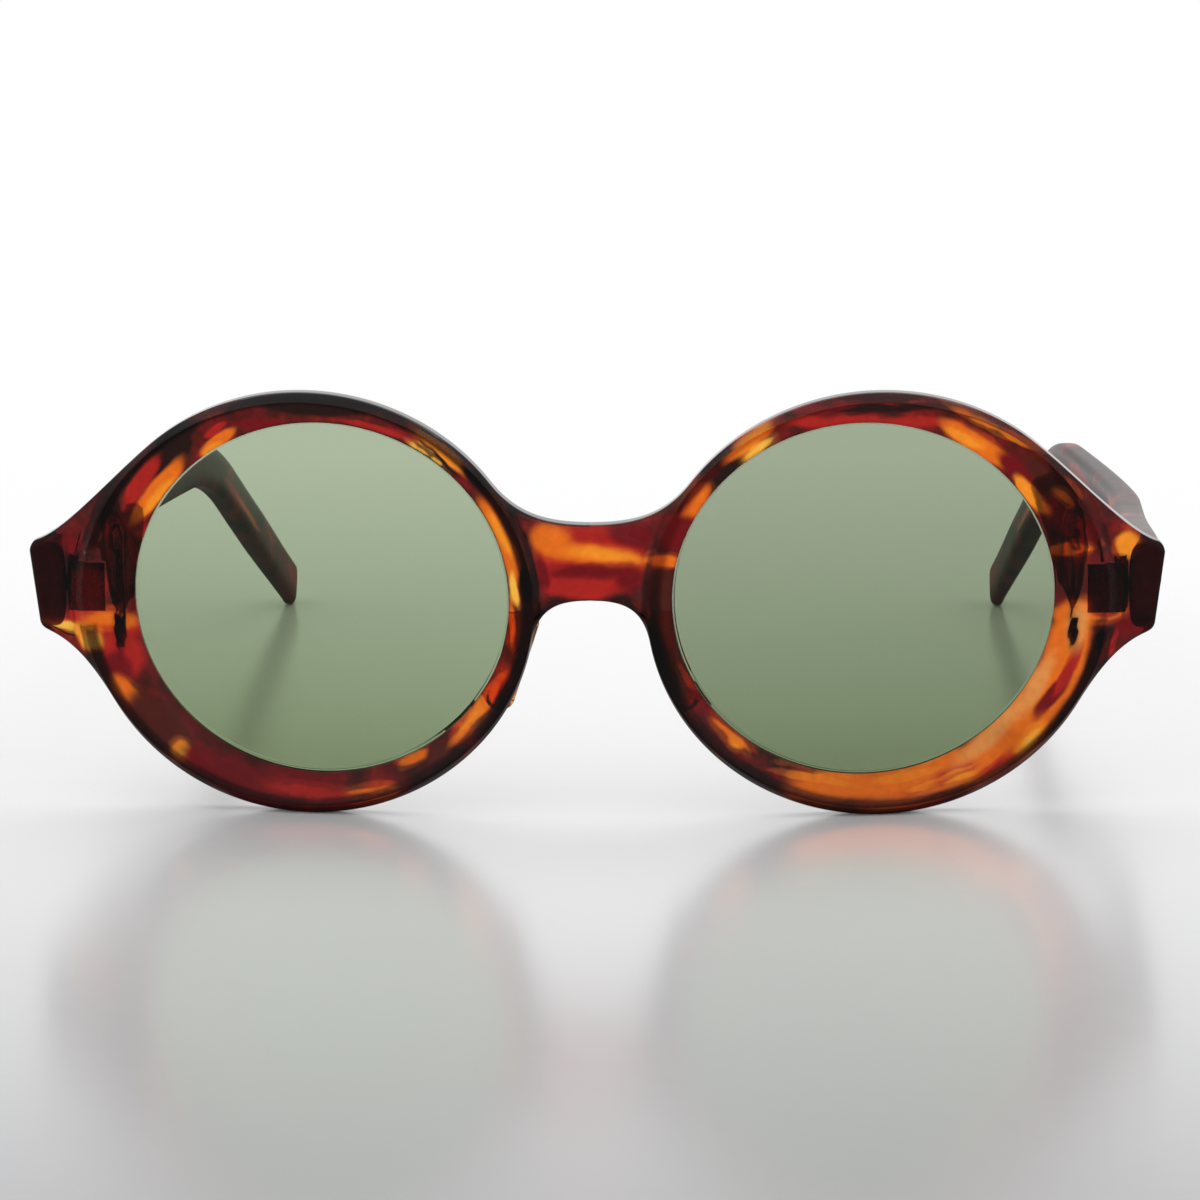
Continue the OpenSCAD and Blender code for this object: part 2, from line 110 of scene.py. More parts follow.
TEMPLE_LEAF_Y = TEMPLE_Y + LEAF_SETBACK
CORE_FROM = TEMPLE_LEAF_Y + TEMPLE_LEAF_L + CORE_SETBACK - TEMPLE_Y
KNEE_TO = AXIS_X + BARREL_R - FRONT_LEAF_W
KNEE_FROM = KNEE_TO - KNEE_W
LENS_FALL = (FRONT_T - LENS_T) / 2 + LENS_SET
LENS_BACK = LENS_FALL + LENS_T

# -------------------- meshes


def make_piece(name, verts, faces, body, slot, replaced=()):
    """A smooth-shaded mesh piece from points in millimetres, riding on a body."""
    mesh = bpy.data.meshes.new(name)
    mesh.from_pydata([tuple(p) for p in np.asarray(verts, float) * MM], [], faces)
    mesh.validate()
    piece = bpy.data.objects.new(name, mesh)
    bpy.context.scene.collection.objects.link(piece)
    work = bmesh.new()
    work.from_mesh(mesh)
    bmesh.ops.delete(work, geom=[v for v in work.verts if not v.link_faces], context="VERTS")
    bmesh.ops.recalc_face_normals(work, faces=work.faces)
    for face in work.faces:
        face.smooth = True
    work.to_mesh(mesh)
    work.free()
    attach(piece, body)
    if replaced:
        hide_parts(*replaced)
    return piece


def loft(loops):
    """Points and faces of a skin over closed loops of equal length, with fans on its ends."""
    count = len(loops[0])
    verts = [p for loop in loops for p in loop]
    faces = []
    for j in range(len(loops) - 1):
        for k in range(count):
            a, b = j * count + k, j * count + (k + 1) % count
            faces.append((a, b, b + count, a + count))
    for j in (0, len(loops) - 1):
        middle = len(verts)
        verts.append(np.mean(loops[j], axis=0))
        faces += [(middle, j * count + k, j * count + (k + 1) % count) for k in range(count)]
    return verts, faces


CUT_CREASE = math.radians(50)


def cut_box(piece, low, high):
    """Cuts a box, given by two corners in millimetres, out of a piece."""
    tool_mesh = bpy.data.meshes.new("cutter")
    work = bmesh.new()
    bmesh.ops.create_cube(work, size=1)
    low, high = Vector(low), Vector(high)
    centre, size = (low + high) / 2 * MM, (high - low) * MM
    for v in work.verts:
        v.co = Vector([centre[i] + v.co[i] * size[i] for i in range(3)])
    work.to_mesh(tool_mesh)
    work.free()
    tool = bpy.data.objects.new("cutter", tool_mesh)
    bpy.context.scene.collection.objects.link(tool)
    cut = piece.modifiers.new("pocket", "BOOLEAN")
    cut.operation, cut.solver, cut.object = "DIFFERENCE", "EXACT", tool
    depsgraph = bpy.context.evaluated_depsgraph_get()
    shape = bpy.data.meshes.new_from_object(piece.evaluated_get(depsgraph))
    piece.modifiers.clear()
    old, piece.data = piece.data, shape
    shape.name = old.name + ".cut"
    bpy.data.objects.remove(tool)
    bpy.data.meshes.remove(old)
    piece.data.shade_smooth()
    piece.data.set_sharp_from_angle(angle=CUT_CREASE)


def cut_pocket(piece, side, near_x, far_x, low, high):
    """Cuts a hinge leaf's pocket: its reach across the face on one side, then low and high
    corners as (Y, Z)."""
    xs = sorted([side * near_x, side * far_x])
    cut_box(piece, (xs[0], *low), (xs[1], *high))


# -------------------- the front

# Where the outline leaves and joins each rim's oval, in degrees against the clock
TOP_END, TOP_BRIDGE, LOW_BRIDGE, LOW_END = 48, 144, 190, 330
# The outline's curves: length of the handle at the start and at the end, and number of points
TOP_END_SWEEP, TOP_BRIDGE_SWEEP = (4, 7, 26), (4.6, 6.2, 26)
LOW_BRIDGE_SWEEP, LOW_END_SWEEP = (4.7, 4, 22), (5, 3.5, 26)
END_SWEEP, CORNER_POINTS = (2, 2, 10), 6
TOP_WAY, LOW_WAY = np.array([-0.95, 0.31]), np.array([0.93, 0.37])
# Shares of the way down the middle line, to half of it, where its points lie
MIDDLE_SHARES = [0, 0.006, 0.015, 0.03, 0.05, 0.08, 0.13, 0.2, 0.3, 0.4, 0.5]

# A cross-section's points: shares from lens to crest, millimetres past the crest and before the
# outline, then on the back millimetres from the outline, shares, and millimetres from the lens
FACE_SHARES = np.array([0, 0.03, 0.08, 0.15, 0.25, 0.38, 0.52, 0.66, 0.78, 0.87, 0.93, 0.97, 1])
FROM_CREST = np.array([0.05, 0.11, 0.2, 0.32, 0.5, 0.72, 1.0, 1.4, 1.9])
FROM_EDGE = np.array([1.2, 0.9, 0.65, 0.45, 0.3, 0.18, 0.09, 0.03, 0])
BACK_FROM_EDGE = np.array([0, 0.04, 0.1, 0.2, 0.33, 0.5])
BACK_SHARES = np.array([0.12, 0.26, 0.4, 0.54, 0.66, 0.77, 0.86])
BACK_FROM_LENS = np.array([0.5, 0.35, 0.22, 0.12, 0.05, 0])
WALL_PARTS = 4
# How the points beside the crest and the outline crowd together where the two are close
CREST_PART, CREST_REACH, EDGE_PART, EDGE_REACH = 0.5, 2.0, 0.42, 1.2
# The face's section: powers of the lip's fall, share of the fall that is round, softness of the
# crest, widths of the hollow's shoulder and edge, and where a bevel opens into the hollow
LIP_POWER, LIP_EDGE_POWER, ROUND_SHARE, CREST_SOFT = 1.2, 8, 0.25, 0.14
SHOULDER_W, HOLLOW_EDGE_W, OPEN_FROM, OPEN_OVER = 1.5, 0.9, 1.5, 2.5
# Points closer than this are joined: in the new mesh, and after the pockets are cut
SAME_POINT, CUT_SEAM = 1e-4, 0.012


def oval(cx, cz, a, c, t):
    """A point, or points, of an oval at the angle t."""
    t = np.asarray(t, float)
    return np.stack([cx + a * np.cos(t), cz + c * np.sin(t)], axis=-1)


def rim(degrees):
    """A point of the left rim's outer oval."""
    return oval(RIM_X, RIM_C, RIM_A, RIM_C, math.radians(degrees))


def rim_way(degrees):
    """The way that the left rim's outer oval runs there, against the clock."""
    t = math.radians(degrees)
    return unit([-RIM_A * math.sin(t), RIM_C * math.cos(t)])


def curve(p, way_p, q, way_q, sweep):
    """Points of a cubic curve from p to q, without its last one."""
    p, way_p, q, way_q = (np.asarray(v, float) for v in (p, way_p, q, way_q))
    start, end, n = sweep
    t = np.arange(n)[:, None] / n
    u = 1 - t
    return list(u**3 * p + 3 * u * u * t * (p + way_p * start)
                + 3 * u * t * t * (q - way_q * end) + t**3 * q)


def arc(t0, t1, step=1.6):
    """Points of the left rim's outer oval between two angles, without the last one."""
    n = math.ceil((t1 - t0) / step)
    return [rim(t0 + (t1 - t0) * k / n) for k in range(n)]


def half_outline():
    """The left half of the front's outline, against the clock, and the numbers of its first and
    last points on the middle line, where the two halves meet."""
    corner = END_CORNER
    side_way = unit([END_LEAN, END_H])
    top_corner = np.array([END_X - corner, END_TOP_Z + TOP_PROUD * corner])
    top_side = np.array([END_X, END_TOP_Z]) - side_way * corner
    low_side = np.array([END_X - END_LEAN, END_LOW_Z]) + side_way * corner
    low_corner = np.array([END_X - END_LEAN - corner, END_LOW_Z - LOW_PROUD * corner])
    bridge_top, bridge_low = np.array([0, BRIDGE_TOP_Z]), np.array([0, BRIDGE_LOW_Z])
    points = curve(top_corner, TOP_WAY, rim(TOP_END), rim_way(TOP_END), TOP_END_SWEEP)
    points += arc(TOP_END, TOP_BRIDGE)
    points += curve(rim(TOP_BRIDGE), rim_way(TOP_BRIDGE), bridge_top, [-1, 0], TOP_BRIDGE_SWEEP)
    start = len(points)
    shares = MIDDLE_SHARES + [1 - s for s in reversed(MIDDLE_SHARES[1:-1])]
    points += [bridge_top + (bridge_low - bridge_top) * s for s in shares]
    end = len(points)
    points += curve(bridge_low, [1, 0], rim(LOW_BRIDGE), rim_way(LOW_BRIDGE), LOW_BRIDGE_SWEEP)
    points += arc(LOW_BRIDGE, LOW_END)
    points += curve(rim(LOW_END), rim_way(LOW_END), low_corner, LOW_WAY, LOW_END_SWEEP)
    points += curve(low_corner, LOW_WAY, low_side, side_way, (corner, corner / 2, CORNER_POINTS))
    points += curve(low_side, side_way, top_side, side_way, END_SWEEP)
    points += curve(top_side, side_way, top_corner, TOP_WAY,
                    (corner / 2, corner / 2, CORNER_POINTS))
    return np.array(points), (start, end)


OUTLINE, (MIDDLE_START, MIDDLE_END) = half_outline()


def silhouette_distance(points):
    """Distance from each point to the front's silhouette, which skips the middle line."""
    ring = np.roll(OUTLINE, -MIDDLE_END, axis=0)[: len(OUTLINE) - (MIDDLE_END - MIDDLE_START)]
    edge = np.vstack([[[0, BRIDGE_LOW_Z]], ring, [[0, BRIDGE_TOP_Z]]])
    flat = points.reshape(-1, 2)
    least = np.full(len(flat), np.inf)
    for p, q in zip(edge[:-1], edge[1:]):
        d = q - p
        t = np.clip(((flat - p) @ d) / max(d @ d, 1e-12), 0, 1)
        least = np.minimum(least, np.linalg.norm(flat - (p + t[:, None] * d), axis=1))
    return least.reshape(points.shape[:-1])


def quarter(share):
    """How far a rounded edge has fallen, at a share of its width from the edge."""
    return 1 - np.sqrt(1 - (1 - np.clip(share, 0, 1)) ** 2)


def back_depth(p):
    """Depth of the front's back: it steps to a flat that carries the hinge leaf."""
    x, z = p[..., 0], p[..., 1]
    knee = smooth((x - KNEE_FROM) / (KNEE_TO - KNEE_FROM))
    knee = knee * (1 - smooth((abs(z - HINGE_Z) - END_H / 2) / KNEE_FADE))
    plain = APEX_Y + wrap(x) + FRONT_T
    return plain + (JOINT_Y - plain) * knee


def cross_sections():
    """The left half's cross-sections, one to each point of the outline, seen from ahead: points
    of the face, points of the back, the lens's edge and the crest."""
    sections = []
    for o in OUTLINE:
        t = math.atan2((o[1] - RIM_C) / RIM_C, (o[0] - RIM_X) / RIM_A)
        lens = oval(LENS_X, LENS_Z, LENS_W / 2, LENS_H / 2, t)
        crest = oval(RIM_X, RIM_C, RIM_A - CREST_SIDE, RIM_C - CREST_INSET, t)
        span, width = np.linalg.norm(o - crest), np.linalg.norm(o - lens)
        near = FROM_CREST * min(1, CREST_PART * span / CREST_REACH)
        far = FROM_EDGE * min(1, EDGE_PART * span / EDGE_REACH)
        face = [lens + (crest - lens) * s for s in FACE_SHARES]
        face += [crest + (o - crest) * d / span for d in near]
        face += [o + (crest - o) * d / span for d in far]
        flat = BACK_FROM_EDGE[-1] + BACK_SHARES * (width - BACK_FROM_EDGE[-1] - BACK_FROM_LENS[0])
        back = [o + (lens - o) * d / width for d in (*BACK_FROM_EDGE, *flat)]
        back += [lens + (o - lens) * d / width for d in BACK_FROM_LENS]
        sections.append((face, back, lens, crest))
    return [np.array(part) for part in zip(*sections)]


def face_fall(faces, crests):
    """How far the face lies behind the wrapped sheet: it climbs from the lens to the crest and
    falls past it, in a bevel on the narrow rims and a hollow where the front is wide."""
    fall = np.zeros(faces.shape[:2])
    low = 1 - FACE_SHARES
    lip = (1 - ROUND_SHARE) * low**LIP_POWER + ROUND_SHARE * low**LIP_EDGE_POWER
    beyond = slice(len(FACE_SHARES), None)
    fall[:, : len(FACE_SHARES)] = LIP_FALL * lip
    past = np.linalg.norm(faces[:, beyond] - crests[:, None], axis=2)
    past = np.sqrt(past**2 + CREST_SOFT**2) - CREST_SOFT
    edge_far = silhouette_distance(faces)[:, beyond]
    span = past + edge_far
    share = past / np.maximum(span, 1e-9)
    turn = 1 - np.sqrt(np.maximum(0, 1 - share**2))
    bevel = BEVEL_FALL * ((1 - ROUND_SHARE) * share + ROUND_SHARE * turn)
    shoulder = 1 - (1 - np.clip(past / SHOULDER_W, 0, 1)) ** 2
    edge = (BEVEL_FALL - HOLLOW_FALL) * quarter(edge_far / HOLLOW_EDGE_W)
    hollow = HOLLOW_FALL * shoulder + edge
    fall[:, beyond] = bevel + (hollow - bevel) * smooth((span - OPEN_FROM) / OPEN_OVER)
    return fall


def front_mesh():
    """Points and faces of both halves of the front."""
    faces_xz, backs_xz, lenses, crests = cross_sections()
    ahead = APEX_Y + wrap(faces_xz[..., 0]) + face_fall(faces_xz, crests)
    behind = back_depth(backs_xz)
    behind = behind - EDGE_ROUND * quarter(silhouette_distance(backs_xz) / EDGE_ROUND)
    lens_far = np.linalg.norm(backs_xz - lenses[:, None], axis=2)
    behind = behind - LENS_CHAMFER * quarter(lens_far / LENS_CHAMFER)

    rows = []
    for i, (o, lens) in enumerate(zip(OUTLINE, lenses)):
        row = [(p[0], y, p[1]) for p, y in zip(faces_xz[i], ahead[i])]
        y0, y1 = ahead[i, -1], behind[i, 0]
        row += [(o[0], y0 + (y1 - y0) * k / WALL_PARTS, o[1]) for k in range(1, WALL_PARTS)]
        row += [(p[0], y, p[1]) for p, y in zip(backs_xz[i], behind[i])]
        lens_y = APEX_Y + float(wrap(lens[0]))
        row += [(lens[0], lens_y + fall, lens[1]) for fall in (LENS_BACK, LENS_FALL)]
        rows.append(row)

    count, rings = len(rows), len(rows[0])
    half = np.array(rows).reshape(-1, 3)
    verts = np.vstack([half, half * [-1, 1, 1]])
    wall = range(faces_xz.shape[1] - 1, faces_xz.shape[1] + WALL_PARTS - 1)
    middle = range(MIDDLE_START, MIDDLE_END + 1)
    faces = []
    for side in (0, 1):
        base = side * count * rings
        for i in range(count):
            j = (i + 1) % count
            a, b = base + i * rings, base + j * rings
            for r in range(rings):
                if r in wall and i in middle and j in middle:
                    continue
                s = (r + 1) % rings
                quad = [a + r, b + r, b + s, a + s]
                faces.append(quad if side == 0 else quad[::-1])
    return verts, faces


def weld(piece, distance):
    """Joins points of a mesh that are closer than a distance in millimetres, and splits faces of
    more than four sides."""
    work = bmesh.new()
    work.from_mesh(piece.data)
    bmesh.ops.remove_doubles(work, verts=work.verts, dist=distance * MM)
    bmesh.ops.dissolve_degenerate(work, edges=work.edges, dist=distance * MM)
    bmesh.ops.triangulate(work, faces=[f for f in work.faces if len(f.verts) > 4])
    bmesh.ops.recalc_face_normals(work, faces=work.faces)
    open_edges = sum(1 for e in work.edges if not e.is_manifold)
    work.to_mesh(piece.data)
    work.free()
    print(piece.name, len(piece.data.polygons), "faces,", open_edges, "open edges")


def make_front():
    """The front, with a pocket for each hinge leaf."""
    mesh = front_mesh()
    piece = make_piece("front_plastic", *mesh, "front", "tortoise_front", ["frame_front"])
    weld(piece, SAME_POINT)
    for side in (1, -1):
        cut_pocket(
            piece, side, KNEE_TO - SUNK_CLEAR, KNEE_TO + FRONT_LEAF_W + SUNK_CLEAR,
            (JOINT_Y - FRONT_LEAF_T - SUNK_CLEAR, LEAF_LOW_Z - SUNK_CLEAR),
            (JOINT_Y + FRONT_LEAF_T, LEAF_LOW_Z + 3 * KNUCKLE_H + SUNK_CLEAR))
    weld(piece, CUT_SEAM)
    return piece


# -------------------- lenses and nose pads

# A lens face's rings, as shares of its size, and the points round each
LENS_RINGS, LENS_POINTS = (0.02, 0.2, 0.4, 0.6, 0.75, 0.87, 0.95, 0.985), 144
LENS_CREASE = math.radians(30)
# A pad's rings and the points round each, how the rings crowd to its ends, and what is left
# past the last of them
PAD_RINGS, PAD_POINTS, PAD_CROWD, PAD_END = 41, 40, 0.8, 0.01
SIDES = (("left", 1), ("right", -1))


def lens_mesh(side):
    """A lens: two curved faces with a small bevel round its edge."""
    angles = np.linspace(0, 2 * math.pi, LENS_POINTS, endpoint=False)
    half_w, half_h = LENS_W / 2 - LENS_GAP_SEEN, LENS_H / 2 - LENS_GAP_SEEN

    def ring(inset, fall, scale=1.0):
        """A ring of points at a depth behind the wrapped sheet."""
        p = oval(LENS_X, LENS_Z, (half_w - inset) * scale, (half_h - inset) * scale, angles)
        return [(side * q[0], APEX_Y + float(wrap(q[0])) + fall, q[1]) for q in p]

    loops = [ring(LENS_BEVEL, LENS_FALL, s) for s in LENS_RINGS]
    loops += [ring(LENS_BEVEL, LENS_FALL), ring(0, LENS_FALL + LENS_BEVEL)]
    loops += [ring(0, LENS_BACK - LENS_BEVEL), ring(LENS_BEVEL, LENS_BACK)]
    loops += [ring(LENS_BEVEL, LENS_BACK, s) for s in LENS_RINGS[::-1]]
    return loft(loops)


def pad_mesh(side):
    """A nose pad: a round-ended bar that lies flat against the back of the rim."""
    way = rim_way(math.degrees(PAD_ANGLE))
    outward = np.array([way[1], -way[0]])
    middle = oval(RIM_X, RIM_C, RIM_A, RIM_C, PAD_ANGLE) - outward * (PAD_R + PAD_SET)
    centre_y = APEX_Y + float(wrap(middle[0])) + FRONT_T + PAD_OUT - PAD_R
    reach = PAD_L / 2 - PAD_R
    loops = []
    for along in np.linspace(-1, 1, PAD_RINGS):
        s = math.copysign(abs(along) ** PAD_CROWD, along) * (PAD_L / 2 - PAD_END)
        past = max(0, abs(s) - reach)
        r = math.sqrt(max(PAD_R**2 - past**2, 1e-4))
        loop = []
        for k in range(PAD_POINTS):
            a = 2 * math.pi * k / PAD_POINTS
            p = middle + way * s - outward * (r * math.cos(a))
            y = centre_y + r * math.sin(a)
            floor_y = APEX_Y + FRONT_T + SUNK_CLEAR + float(wrap(p[0]))
            loop.append((side * p[0], max(y, floor_y), p[1]))
        loops.append(loop)
    return loft(loops)


def make_pair(start, mesh, slot, node, crease):
    """The left and the right of a kind of piece that the front carries."""
    pieces = []
    for name, side in SIDES:
        piece = make_piece(f"{start}_{name}", *mesh(side), "front", slot, [f"{node}_{name}"])
        piece.data.set_sharp_from_angle(angle=crease)
        pieces.append(piece)
    return pieces


# -------------------- temples

# Rings at the temple's joint face, as distance from it and inset, the rings after them, the
# points round each, how square they are, and how fast the tip's rings lose that
FACE_RINGS, FIRST_RING, SHAFT_RINGS = ((0, 0.3), (0.03, 0.17), (0.12, 0.05), (0.3, 0)), 1.2, 130
RING_POINTS, RING_SQUARE, TIP_ROUNDING = 48, 4, 40
TIP_DEGREES = range(6, 90, 7)
LEAN = END_LEAN / END_H


def temple_turn(s):
    """How far the temple has turned down at the distance s along it."""
    return min(DROP_ANGLE, max(0.0, (s - SHAFT_L) / EAR_R))


def temple_mid(s):
    """The left temple's middle line at the distance s along it."""
    a = temple_turn(s)
    past = max(0.0, s - SHAFT_L - BEND_L)
    b = max(0.0, s - STRAIGHT_L) / (TEMPLE_L - STRAIGHT_L)
    return np.array([
        TEMPLE_IN + TEMPLE_T / 2 - TEMPLE_BOW * b**BOW_POWER,
        TEMPLE_Y + min(s, SHAFT_L) + EAR_R * math.sin(a) + past * math.cos(a),
        HINGE_Z - EAR_R * (1 - math.cos(a)) - past * math.sin(a),
    ])


def temple_height(s):
    """The temple's height, which tapers to the shaft and widens a little in the drop."""
    shaft = END_H + (SHAFT_H - END_H) * float(smooth(s / TAPER_L))
    return shaft + (DROP_H - shaft) * float(smooth((s - SHAFT_L + FLARE_L) / (2 * FLARE_L)))


def temple_thick(s):
    """The temple's thickness, which falls along the shaft and again at the tip."""
    shaft = TEMPLE_T + (DROP_T - TEMPLE_T) * float(smooth((s - CORE_FROM) / SHAFT_L))
    return shaft + (TIP_T - shaft) * float(smooth((s - TEMPLE_L + THIN_L) / THIN_L))


def temple_ring(s, a, h, lean, square=RING_SQUARE, ahead=0.0):
    """A ring round the left temple's middle line: half sizes a across and h up."""
    turn = temple_turn(s)
    mid = temple_mid(s) + np.array([0, math.cos(turn), -math.sin(turn)]) * ahead
    ring = []
    for k in range(RING_POINTS):
        t = 2 * math.pi * (k + 0.5) / RING_POINTS
        u = math.copysign(abs(math.cos(t)) ** (2 / square), math.cos(t))
        v = math.copysign(abs(math.sin(t)) ** (2 / square), math.sin(t)) * h
        across = u * a + (u + 1) / 2 * lean * v
        ring.append(mid + np.array([across, v * math.sin(turn), v * math.cos(turn)]))
    return ring


def temple_mesh(side):
    """A temple from its flat joint face to its rounded tip."""
    loops = []
    for s, inset in FACE_RINGS:
        a, h = temple_thick(s) / 2 - inset, temple_height(s) / 2 - inset
        loops.append(temple_ring(s, a, h, LEAN))
    for s in np.linspace(FIRST_RING, TEMPLE_L, SHAFT_RINGS):
        lean = LEAN * (1 - float(smooth(s / TAPER_L)))
        loops.append(temple_ring(s, temple_thick(s) / 2, temple_height(s) / 2, lean))
    for degrees in TIP_DEGREES:
        t = math.radians(degrees)
        a, h = TIP_T / 2 * math.cos(t), DROP_H / 2 * math.cos(t)
        square, ahead = RING_SQUARE - degrees / TIP_ROUNDING, DROP_H / 2 * math.sin(t)
        loops.append(temple_ring(TEMPLE_L, a, h, 0, square, ahead))
    return loft([[(side * p[0], p[1], p[2]) for p in loop] for loop in loops])


def make_temples():
    """Both temples, each with a pocket for its hinge leaf."""
    pieces = []
    low = (TEMPLE_LEAF_Y - SUNK_CLEAR, HINGE_Z - TEMPLE_LEAF_H / 2 - SUNK_CLEAR)
    high = (TEMPLE_LEAF_Y + TEMPLE_LEAF_L + SUNK_CLEAR, HINGE_Z + TEMPLE_LEAF_H / 2 + SUNK_CLEAR)
    for name, side in SIDES:
        piece = make_piece(
            f"temple_plastic_{name}", *temple_mesh(side), f"arm_{name}", "tortoise_temple",
            [f"temple_{name}"])
        cut_pocket(piece, side, TEMPLE_IN - 1, TEMPLE_IN + TEMPLE_LEAF_T + SUNK_CLEAR, low, high)
        pieces.append(piece)
    return pieces


# -------------------- shader helpers


def put(tree, kind, inputs=None, **settings):
    """Adds a node, sets it up, and joins or fills its sockets."""
    node = tree.nodes.new(kind)
    for name, value in settings.items():
        setattr(node, name, value)
    for name, value in (inputs or {}).items():
        socket = node.inputs[name]
        if isinstance(value, bpy.types.NodeSocket):
            tree.links.new(value, socket)
        else:
            socket.default_value = value
    return node


def new_group(name, inputs, outputs):
    """An empty shader group with named sockets, as (kind, name, value) rows: the group, its inputs
    and its outputs."""
    group = bpy.data.node_groups.new(name, "ShaderNodeTree")
    for kind, label, value in inputs:
        kind = "NodeSocket" + kind
        socket = group.interface.new_socket(label, in_out="INPUT", socket_type=kind)
        if value is not None:
            socket.default_value = value
    for kind, label in outputs:
        group.interface.new_socket(label, in_out="OUTPUT", socket_type="NodeSocket" + kind)
    given, result = group.nodes.new("NodeGroupInput"), group.nodes.new("NodeGroupOutput")
    return group, given.outputs, result.inputs


def use_group(tree, group, inputs):
    """Places a shader group in a tree, with its own values."""
    return put(tree, "ShaderNodeGroup", inputs, node_tree=group)


def new_material(name):
    """A node material with an empty tree, and the tree."""
    material = bpy.data.materials.new(name)
    material.use_nodes = True
    material.node_tree.nodes.clear()
    return material, material.node_tree


def finish_with(tree, shader, kind="Material"):
    """Joins a shader to the tree's output."""
    out = put(tree, "ShaderNodeOutput" + kind)
    tree.links.new(shader.outputs[0], out.inputs["Surface"])


def object_place(tree):
    """The place on the object, in metres."""
    return put(tree, "ShaderNodeTexCoord").outputs["Object"]


def parts_of(tree, vector):
    """A vector's X, Y and Z."""
    return put(tree, "ShaderNodeSeparateXYZ", {0: vector}).outputs


def vector_of(tree, x, y, z):
    """A vector made of three numbers."""
    return put(tree, "ShaderNodeCombineXYZ", {"X": x, "Y": y, "Z": z}).outputs[0]


def maths(tree, operation, a, b=0.0, clamp=False):
    """A sum of one or two numbers."""
    node = put(tree, "ShaderNodeMath", {0: a, 1: b}, operation=operation, use_clamp=clamp)
    return node.outputs[0]


def vector_maths(tree, operation, inputs, output=0):
    """A sum of vectors."""
    node = put(tree, "ShaderNodeVectorMath", inputs, operation=operation)
    return node.outputs[output]


def remap(tree, value, low, high, start=0.0, end=1.0, soft=False):
    """A number carried from low..high to start..end, and held at both ends."""
    inputs = {"Value": value, "From Min": low, "From Max": high, "To Min": start, "To Max": end}
    curve_kind = "SMOOTHSTEP" if soft else "LINEAR"
    return put(tree, "ShaderNodeMapRange", inputs, interpolation_type=curve_kind).outputs["Result"]


def noise(tree, place, scale, detail, roughness=0.5):
    """Cloudy noise: its sockets, Fac and Color."""
    return put(tree, "ShaderNodeTexNoise", {
        "Vector": place, "Scale": scale, "Detail": detail, "Roughness": roughness}).outputs


def bump(tree, height, strength, distance):
    """A surface normal moved by a height."""
    return put(tree, "ShaderNodeBump", {
        "Height": height, "Strength": strength, "Distance": distance}).outputs["Normal"]


def mix_colour(tree, share, a, b):
    """A mix of two colours."""
    return put(tree, "ShaderNodeMix", {0: share, 6: a, 7: b}, data_type="RGBA").outputs[2]


def tone_ramp(tree, value, stops, blend="LINEAR"):
    """A run of colours over a number, from (position, colour) rows."""
    ramp = put(tree, "ShaderNodeValToRGB", {"Fac": value})
    ramp.color_ramp.interpolation = blend
    elements = ramp.color_ramp.elements
    while len(elements) < len(stops):
        elements.new(0.5)
    for element, (position, colour) in zip(elements, stops):
        element.position = position
        element.color = (*colour, 1)
    return ramp.outputs["Color"]


# -------------------- tortoise plastic

# The tortoise tones, as light that has gone through the plastic once
TONES = {
    "dark": (0.018, 0.006, 0.005),
    "brown": (0.075, 0.012, 0.008),
    "deep": (0.16, 0.005, 0.008),
    "red": (0.40, 0.016, 0.012),
    "orange": (0.80, 0.155, 0.010),
    "amber": (0.92, 0.28, 0.018),
    "yellow": (0.98, 0.50, 0.06),
    "cream": (0.80, 0.30, 0.07),
}
PLASTIC_IOR = 1.49
NO_PAINTED_SHADE = (1, 1, 1, 1)
# Noise that moves the streaks' edges, as (scale, reach in millimetres)
SWIRLS = ((0.13, 3.0), (0.55, 0.9))
STREAK_SOFTNESS = 0.65
# Noise scales in the plastic, in repeats a millimetre
MOTTLE_SCALE, HAZE_SCALE, WEAR_SCALE, RIPPLE_SCALE = 0.22, 0.9, 0.5, 0.35
# What the haze's noise makes of the tone, the roughness that wear adds, and the ripple's bump
HAZE, WEAR, RIPPLE, RIPPLE_H = (0.3, 0.7, 0.86, 1.1), 0.04, 0.02, 0.4 * MM
# How squarely the surface faces ahead where the painted edge shade is full, and where it ends
TURNED, SQUARE_ON = 0.72, 0.97
# The painted shade line inside a rim's outer oval: its rise and fall in shares of the oval, and its
# depth
SHADE_LINE_RISE, SHADE_LINE_FALL, SHADE_LINE_DEPTH = (0.940, 0.958), (0.994, 1.008), 0.92
# The box over the sunk leaf, in millimetres, where there is no painted edge shade
KNEE_INNER, KNEE_OUTER, KNEE_LEVEL = (51.0, 52.0), (66.0, 67.0), (4.6, 5.2)
# Heights on the rim's oval between which the side's painted edge shade gives way to the top's
SIDE_TO_TOP = (-0.1, 0.4)


def streak_group():
    """A soft-edged streak: a mask of 1 inside an oval that is placed and turned in a plane."""
    group, given, result = new_group(
        "streak",
        [("Vector", "Place", None), ("Vector", "Middle", (0, 0, 0)), ("Vector", "Size", (1, 1, 1)),
         ("Vector", "Turn", (0, 0, 0)), ("Float", "Softness", 0.3)],
        [("Float", "Mask")])
    moved = put(group, "ShaderNodeMapping", {
        "Vector": given["Place"], "Location": given["Middle"], "Rotation": given["Turn"],
        "Scale": given["Size"]}, vector_type="TEXTURE").outputs[0]
    reach = vector_maths(group, "LENGTH", {0: moved}, "Value")
    low = maths(group, "SUBTRACT", 1.0, given["Softness"])
    high = maths(group, "ADD", 1.0, given["Softness"])
    mask = remap(group, reach, low, high, 1.0, 0.0, soft=True)
    group.links.new(mask, result["Mask"])
    return group


